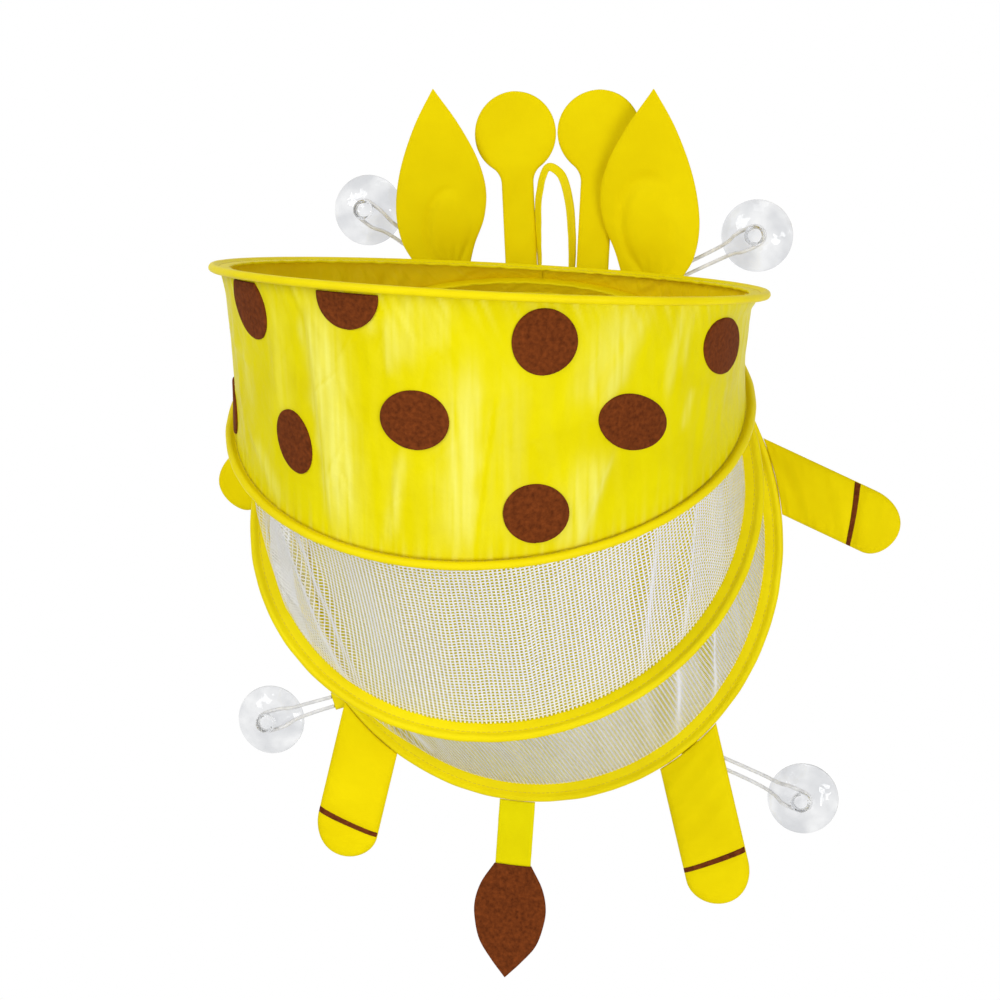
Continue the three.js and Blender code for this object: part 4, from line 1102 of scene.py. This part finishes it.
def add_limb(name, limb):
    place = limb_frame(limb.root, limb.heading)
    radius = limb.width / 2
    middle = limb.length - limb.stripe

    def round_end(reach):
        from_tip = np.clip(limb.length - reach, 0, radius) / radius
        return np.sqrt(np.clip(1 - (1 - from_tip) ** 2, 0, 1))

    def front(reach, side, share):
        end = np.clip(round_end(reach), 0.05, 1)
        root = 0.35 + 0.65 * np.clip(reach / radius, 0, 1) ** 0.7
        pinch = 1 - 0.3 * np.exp(-((reach - middle) / 4) ** 2)
        puff = LIMB_PADDING * crown(share) * end * root * pinch
        pucker = seam_edge(share, radius / 4.5) * ripples(LIMB_PUCKERS, reach, seed=limb.seed)
        crease = ripples(LIMB_CREASES, reach, side, limb.seed) * crown(share) * end
        return puff + pucker + crease

    def back(reach, side, share):
        return FLAP_BACK_PADDING * crown(share) * round_end(reach)

    straight = np.linspace(0, limb.length - radius, 50)
    angle = np.linspace(0, math.pi / 2, 20)[1:]
    reach = np.concatenate([straight, limb.length - radius + radius * np.sin(angle)])
    half = np.concatenate([np.full(len(straight), radius), radius * np.cos(angle)])
    add_padding(name, place, limb.length, reach, half, front, back)
    rows = middle + np.linspace(-STRIPE_WIDTH / 2, STRIPE_WIDTH / 2, 7)
    share = np.linspace(-0.985, 0.985, 61)
    rows, share = np.meshgrid(rows, share, indexing="ij")
    side = radius * share
    rise = 0.75 - 0.4 * (np.abs(rows - middle) > STRIPE_WIDTH / 2 - 0.1)
    level = front(rows, side, share)
    top = limb_points(place, limb.length, rows, side, level + rise)
    bottom = limb_points(place, limb.length, rows, side, level - 0.2)
    stripe = add_slab(f"{name}_ribbon", top, bottom, felt, np.stack([side, rows], -1))
    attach(stripe, f"{name}_flap")
    finish_piece(stripe, "brown_felt", f"{name}_stripe")


def leaf_outline(length, width, root_width, outline):
    """Reach and half width along a leaf from a few points of shares of its length and width."""
    rows = [(0, root_width / 2), *((share * length, half * width) for share, half in outline)]
    line = smooth_curve([*rows, (length, LEAF_TIP_HALF)], 20)
    return line[:, 0], np.maximum(line[:, 1], 0.05)


def add_ear(name, ear):
    place = limb_frame(ear.root, ear.heading, EAR_TILT)
    rows, half = leaf_outline(ear.length, ear.width, EAR_ROOT_WIDTH, EAR_OUTLINE)
    fold_side, fold_reach, fold_half, fold_tall = ear.fold

    def width_share(reach):
        return np.interp(reach, rows, half) / (ear.width / 2)

    def front(reach, side, share):
        wide = width_share(reach)
        puff = EAR_PADDING * crown(share) * np.clip(wide, 0.05, 1)
        away = np.hypot((side - fold_side) / fold_half, (reach - fold_reach) / fold_tall)
        pouch = 3.4 * np.exp(-away ** 4) - 2.2 * np.exp(-((away - 1.05) / 0.13) ** 2) * (
            0.55 + 0.45 * np.tanh((side - fold_side) / 5))
        pleat = 0 * away
        for lean, long in EAR_PLEATS:
            up, across = math.cos(math.radians(lean)), math.sin(math.radians(lean))
            run = (reach - PLEAT_FOOT) * up + (side - fold_side) * across
            off = (side - fold_side) * up - (reach - PLEAT_FOOT) * across
            ends = smooth(run / 6) * (1 - smooth((run - 0.4 * long) / (0.6 * long)))
            pleat -= PLEAT_DEPTH * np.exp(-(off / 1.6) ** 2) * ends
        pucker = seam_edge(share, 9) * ripples(EAR_PUCKERS, reach, seed=ear.seed)
        return puff + (pouch + pleat) * crown(share) * np.clip(wide, 0, 1) + pucker

    def back(reach, side, share):
        return FLAP_BACK_PADDING * crown(share) * np.clip(width_share(reach), 0.05, 1)

    add_padding(name, place, ear.length, rows, half, front, back)


def add_horn(name, horn):
    place = limb_frame(horn.root, horn.heading)
    radius = horn.head / 2
    stalk = HORN_STALK / 2
    turned = stalk + HORN_FILLET
    centre = horn.length - radius
    meet = math.sqrt((radius + HORN_FILLET) ** 2 - turned ** 2)
    fillet_end = math.atan2(meet, turned)
    straight = np.linspace(0, centre - meet, 24)[:-1]
    fillet = np.linspace(0, fillet_end, 12)
    head = np.linspace(-fillet_end, math.pi / 2, 40)[1:]
    reach = np.concatenate([straight, centre - meet + HORN_FILLET * np.sin(fillet),
                            centre + radius * np.sin(head)])
    half = np.concatenate([np.full(len(straight), stalk), turned - HORN_FILLET * np.cos(fillet),
                           radius * np.cos(head)])

    def front(reach, side, share):
        puff = HORN_PADDING * crown(share, 8)
        return puff + ripples(HORN_CREASES, reach, side, horn.seed) * crown(share)

    def back(reach, side, share):
        return FLAP_BACK_PADDING * crown(share, 8)

    add_padding(name, place, horn.length, reach, half, front, back)


for rows, add_flap in ((LIMBS, add_limb), (EARS, add_ear), (HORNS, add_horn)):
    for name, row in rows.items():
        add_flap(name, row)


# Tail: a webbing strap and a felt leaf
def bowed_faces(thickness, power, bow):
    """Front and rear of a flat piece of one thickness that bows to and fro."""
    def face(reach, side, share, way=1):
        return thickness / 2 * crown(share, power) + way * ripples(bow, reach, side)

    def rear(reach, side, share):
        return face(reach, side, share, -1)
    return face, rear


def add_tail():
    place = limb_frame(TAIL_ROOT, TAIL_HEADING)
    reach = np.linspace(0, TAIL_STRAP_LENGTH, 30)
    half = np.full(len(reach), TAIL_STRAP_WIDTH / 2)
    strap = add_pillow("tail_webbing", place, TAIL_STRAP_LENGTH, reach, half,
                       *bowed_faces(TAIL_STRAP_THICKNESS, 10, TAIL_STRAP_BOW), satin)
    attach(strap, "tail_flap")
    finish_piece(strap, "yellow_cloth", "tail_strap")
    reach, half = leaf_outline(TAIL_TIP_LENGTH, TAIL_TIP_WIDTH, TAIL_TIP_TOP, TAIL_TIP_OUTLINE)
    start = TAIL_STRAP_LENGTH + TAIL_TIP_GAP
    leaf = add_pillow("tail_felt_leaf", place, start + TAIL_TIP_LENGTH, reach + start, half,
                      *bowed_faces(TAIL_TIP_THICKNESS, 12, TAIL_TIP_BOW), felt)
    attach(leaf, "tail_flap")
    finish_piece(leaf, "brown_felt", "tail_tip")


add_tail()


# Hanging loop: a ribbon that stands edge-on at its feet and turns its face to the front at its top
def add_loop():
    foot = np.array([LOOP_LEFT, -BACK_STANDOFF, LOOP_FOOT])
    size = np.array([LOOP_RIGHT - LOOP_LEFT, -LOOP_FORWARD, LOOP_HEIGHT])
    line = smooth_curve(foot + np.array(LOOP_LINE) * size, 10)
    along = unit(np.gradient(line, axis=0))
    level = unit(FORWARD - (along @ FORWARD)[:, None] * along) * -1
    turning = np.sqrt(np.abs(np.sin(np.linspace(0, math.pi, len(line)))))
    twist = (math.radians(LOOP_TWIST) * turning)[:, None]
    wide = np.cos(twist) * level + np.sin(twist) * np.cross(along, level)
    face = np.cross(along, wide)
    run = running_length(line)
    share = np.linspace(-1, 1, 9)
    side = (RIBBON_HALF_WIDTH * share)[None, :, None] * wide[:, None]
    curl = 0.25 * share[None] ** 2 + ripples(LOOP_CURL, run)[:, None]
    half = RIBBON_HALF_THICKNESS * np.clip(1 - share ** 8, 0.1, 1) ** 0.5
    top = line[:, None] + side + (curl + half[None])[..., None] * face[:, None]
    bottom = line[:, None] + side + (curl - half[None])[..., None] * face[:, None]
    flat = np.stack(np.broadcast_arrays(RIBBON_HALF_WIDTH * share[None], run[:, None]), -1)
    loop = add_slab("loop_ribbon", top, bottom, tape, flat)
    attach(loop, "loop_flap")
    finish_piece(loop, "yellow_cloth", "hanging_loop")


add_loop()


# Stage: a pale floor that keeps the object's shadow, white further off, and soft studio light
def add_stage():
    bpy.ops.mesh.primitive_plane_add(size=FLOOR_SIZE, location=(0, 0, FLOOR_LEVEL * MM))
    floor = bpy.context.object
    floor.name = "floor"
    look, graph, surface = new_look("pale_floor")
    grey = graph.ramp(graph.noise(3, 2), (0.84, 0.84, 0.84), (0.86, 0.86, 0.86))
    graph.set(surface, Base_Color=grey, Roughness=0.8)
    distance = graph.add("VectorMath")
    distance.operation = "LENGTH"
    graph.link(graph.add("TexCoord").outputs["Object"], distance.inputs[0])
    far = graph.add("MapRange", From_Min=WHITE_FROM, From_Max=WHITE_TO, Value=distance.outputs["Value"])
    share = graph.math("MULTIPLY", graph.seen_rays(), far.outputs["Result"])
    graph.mix_out(share, surface, graph.add("Emission", Strength=1.0), "Material Output")
    floor.data.materials.append(look)


def add_world():
    world = bpy.data.worlds.new("studio")
    world.use_nodes = True
    bpy.context.scene.world = world
    graph = Graph(world.node_tree)
    soft = graph.nodes["Background"]
    graph.set(soft, Color=WHITE, Strength=WORLD_STRENGTH)
    white = graph.add("Background", Color=WHITE, Strength=1.0)
    graph.mix_out(graph.seen_rays(), soft, white, "World Output")


def add_light(name, place, target, size, power):
    """A soft box that the camera doesn't see, with its width and height in metres."""
    data = bpy.data.lights.new(name, "AREA")
    data.shape = "RECTANGLE"
    data.size, data.size_y = size
    data.energy = power
    light = bpy.data.objects.new(name, data)
    back = unit(np.array(place, float) - np.array(target, float))
    right = unit(np.cross([0, 0, 1], back))
    light.matrix_world = axes_matrix(right, np.cross(back, right), back, place)
    light.visible_camera = False
    light.visible_transmission = False
    bpy.context.collection.objects.link(light)


add_stage()
add_world()
for name, lamp in LAMPS.items():
    add_light(name, *lamp)
bpy.context.scene.view_settings.view_transform = "Standard"
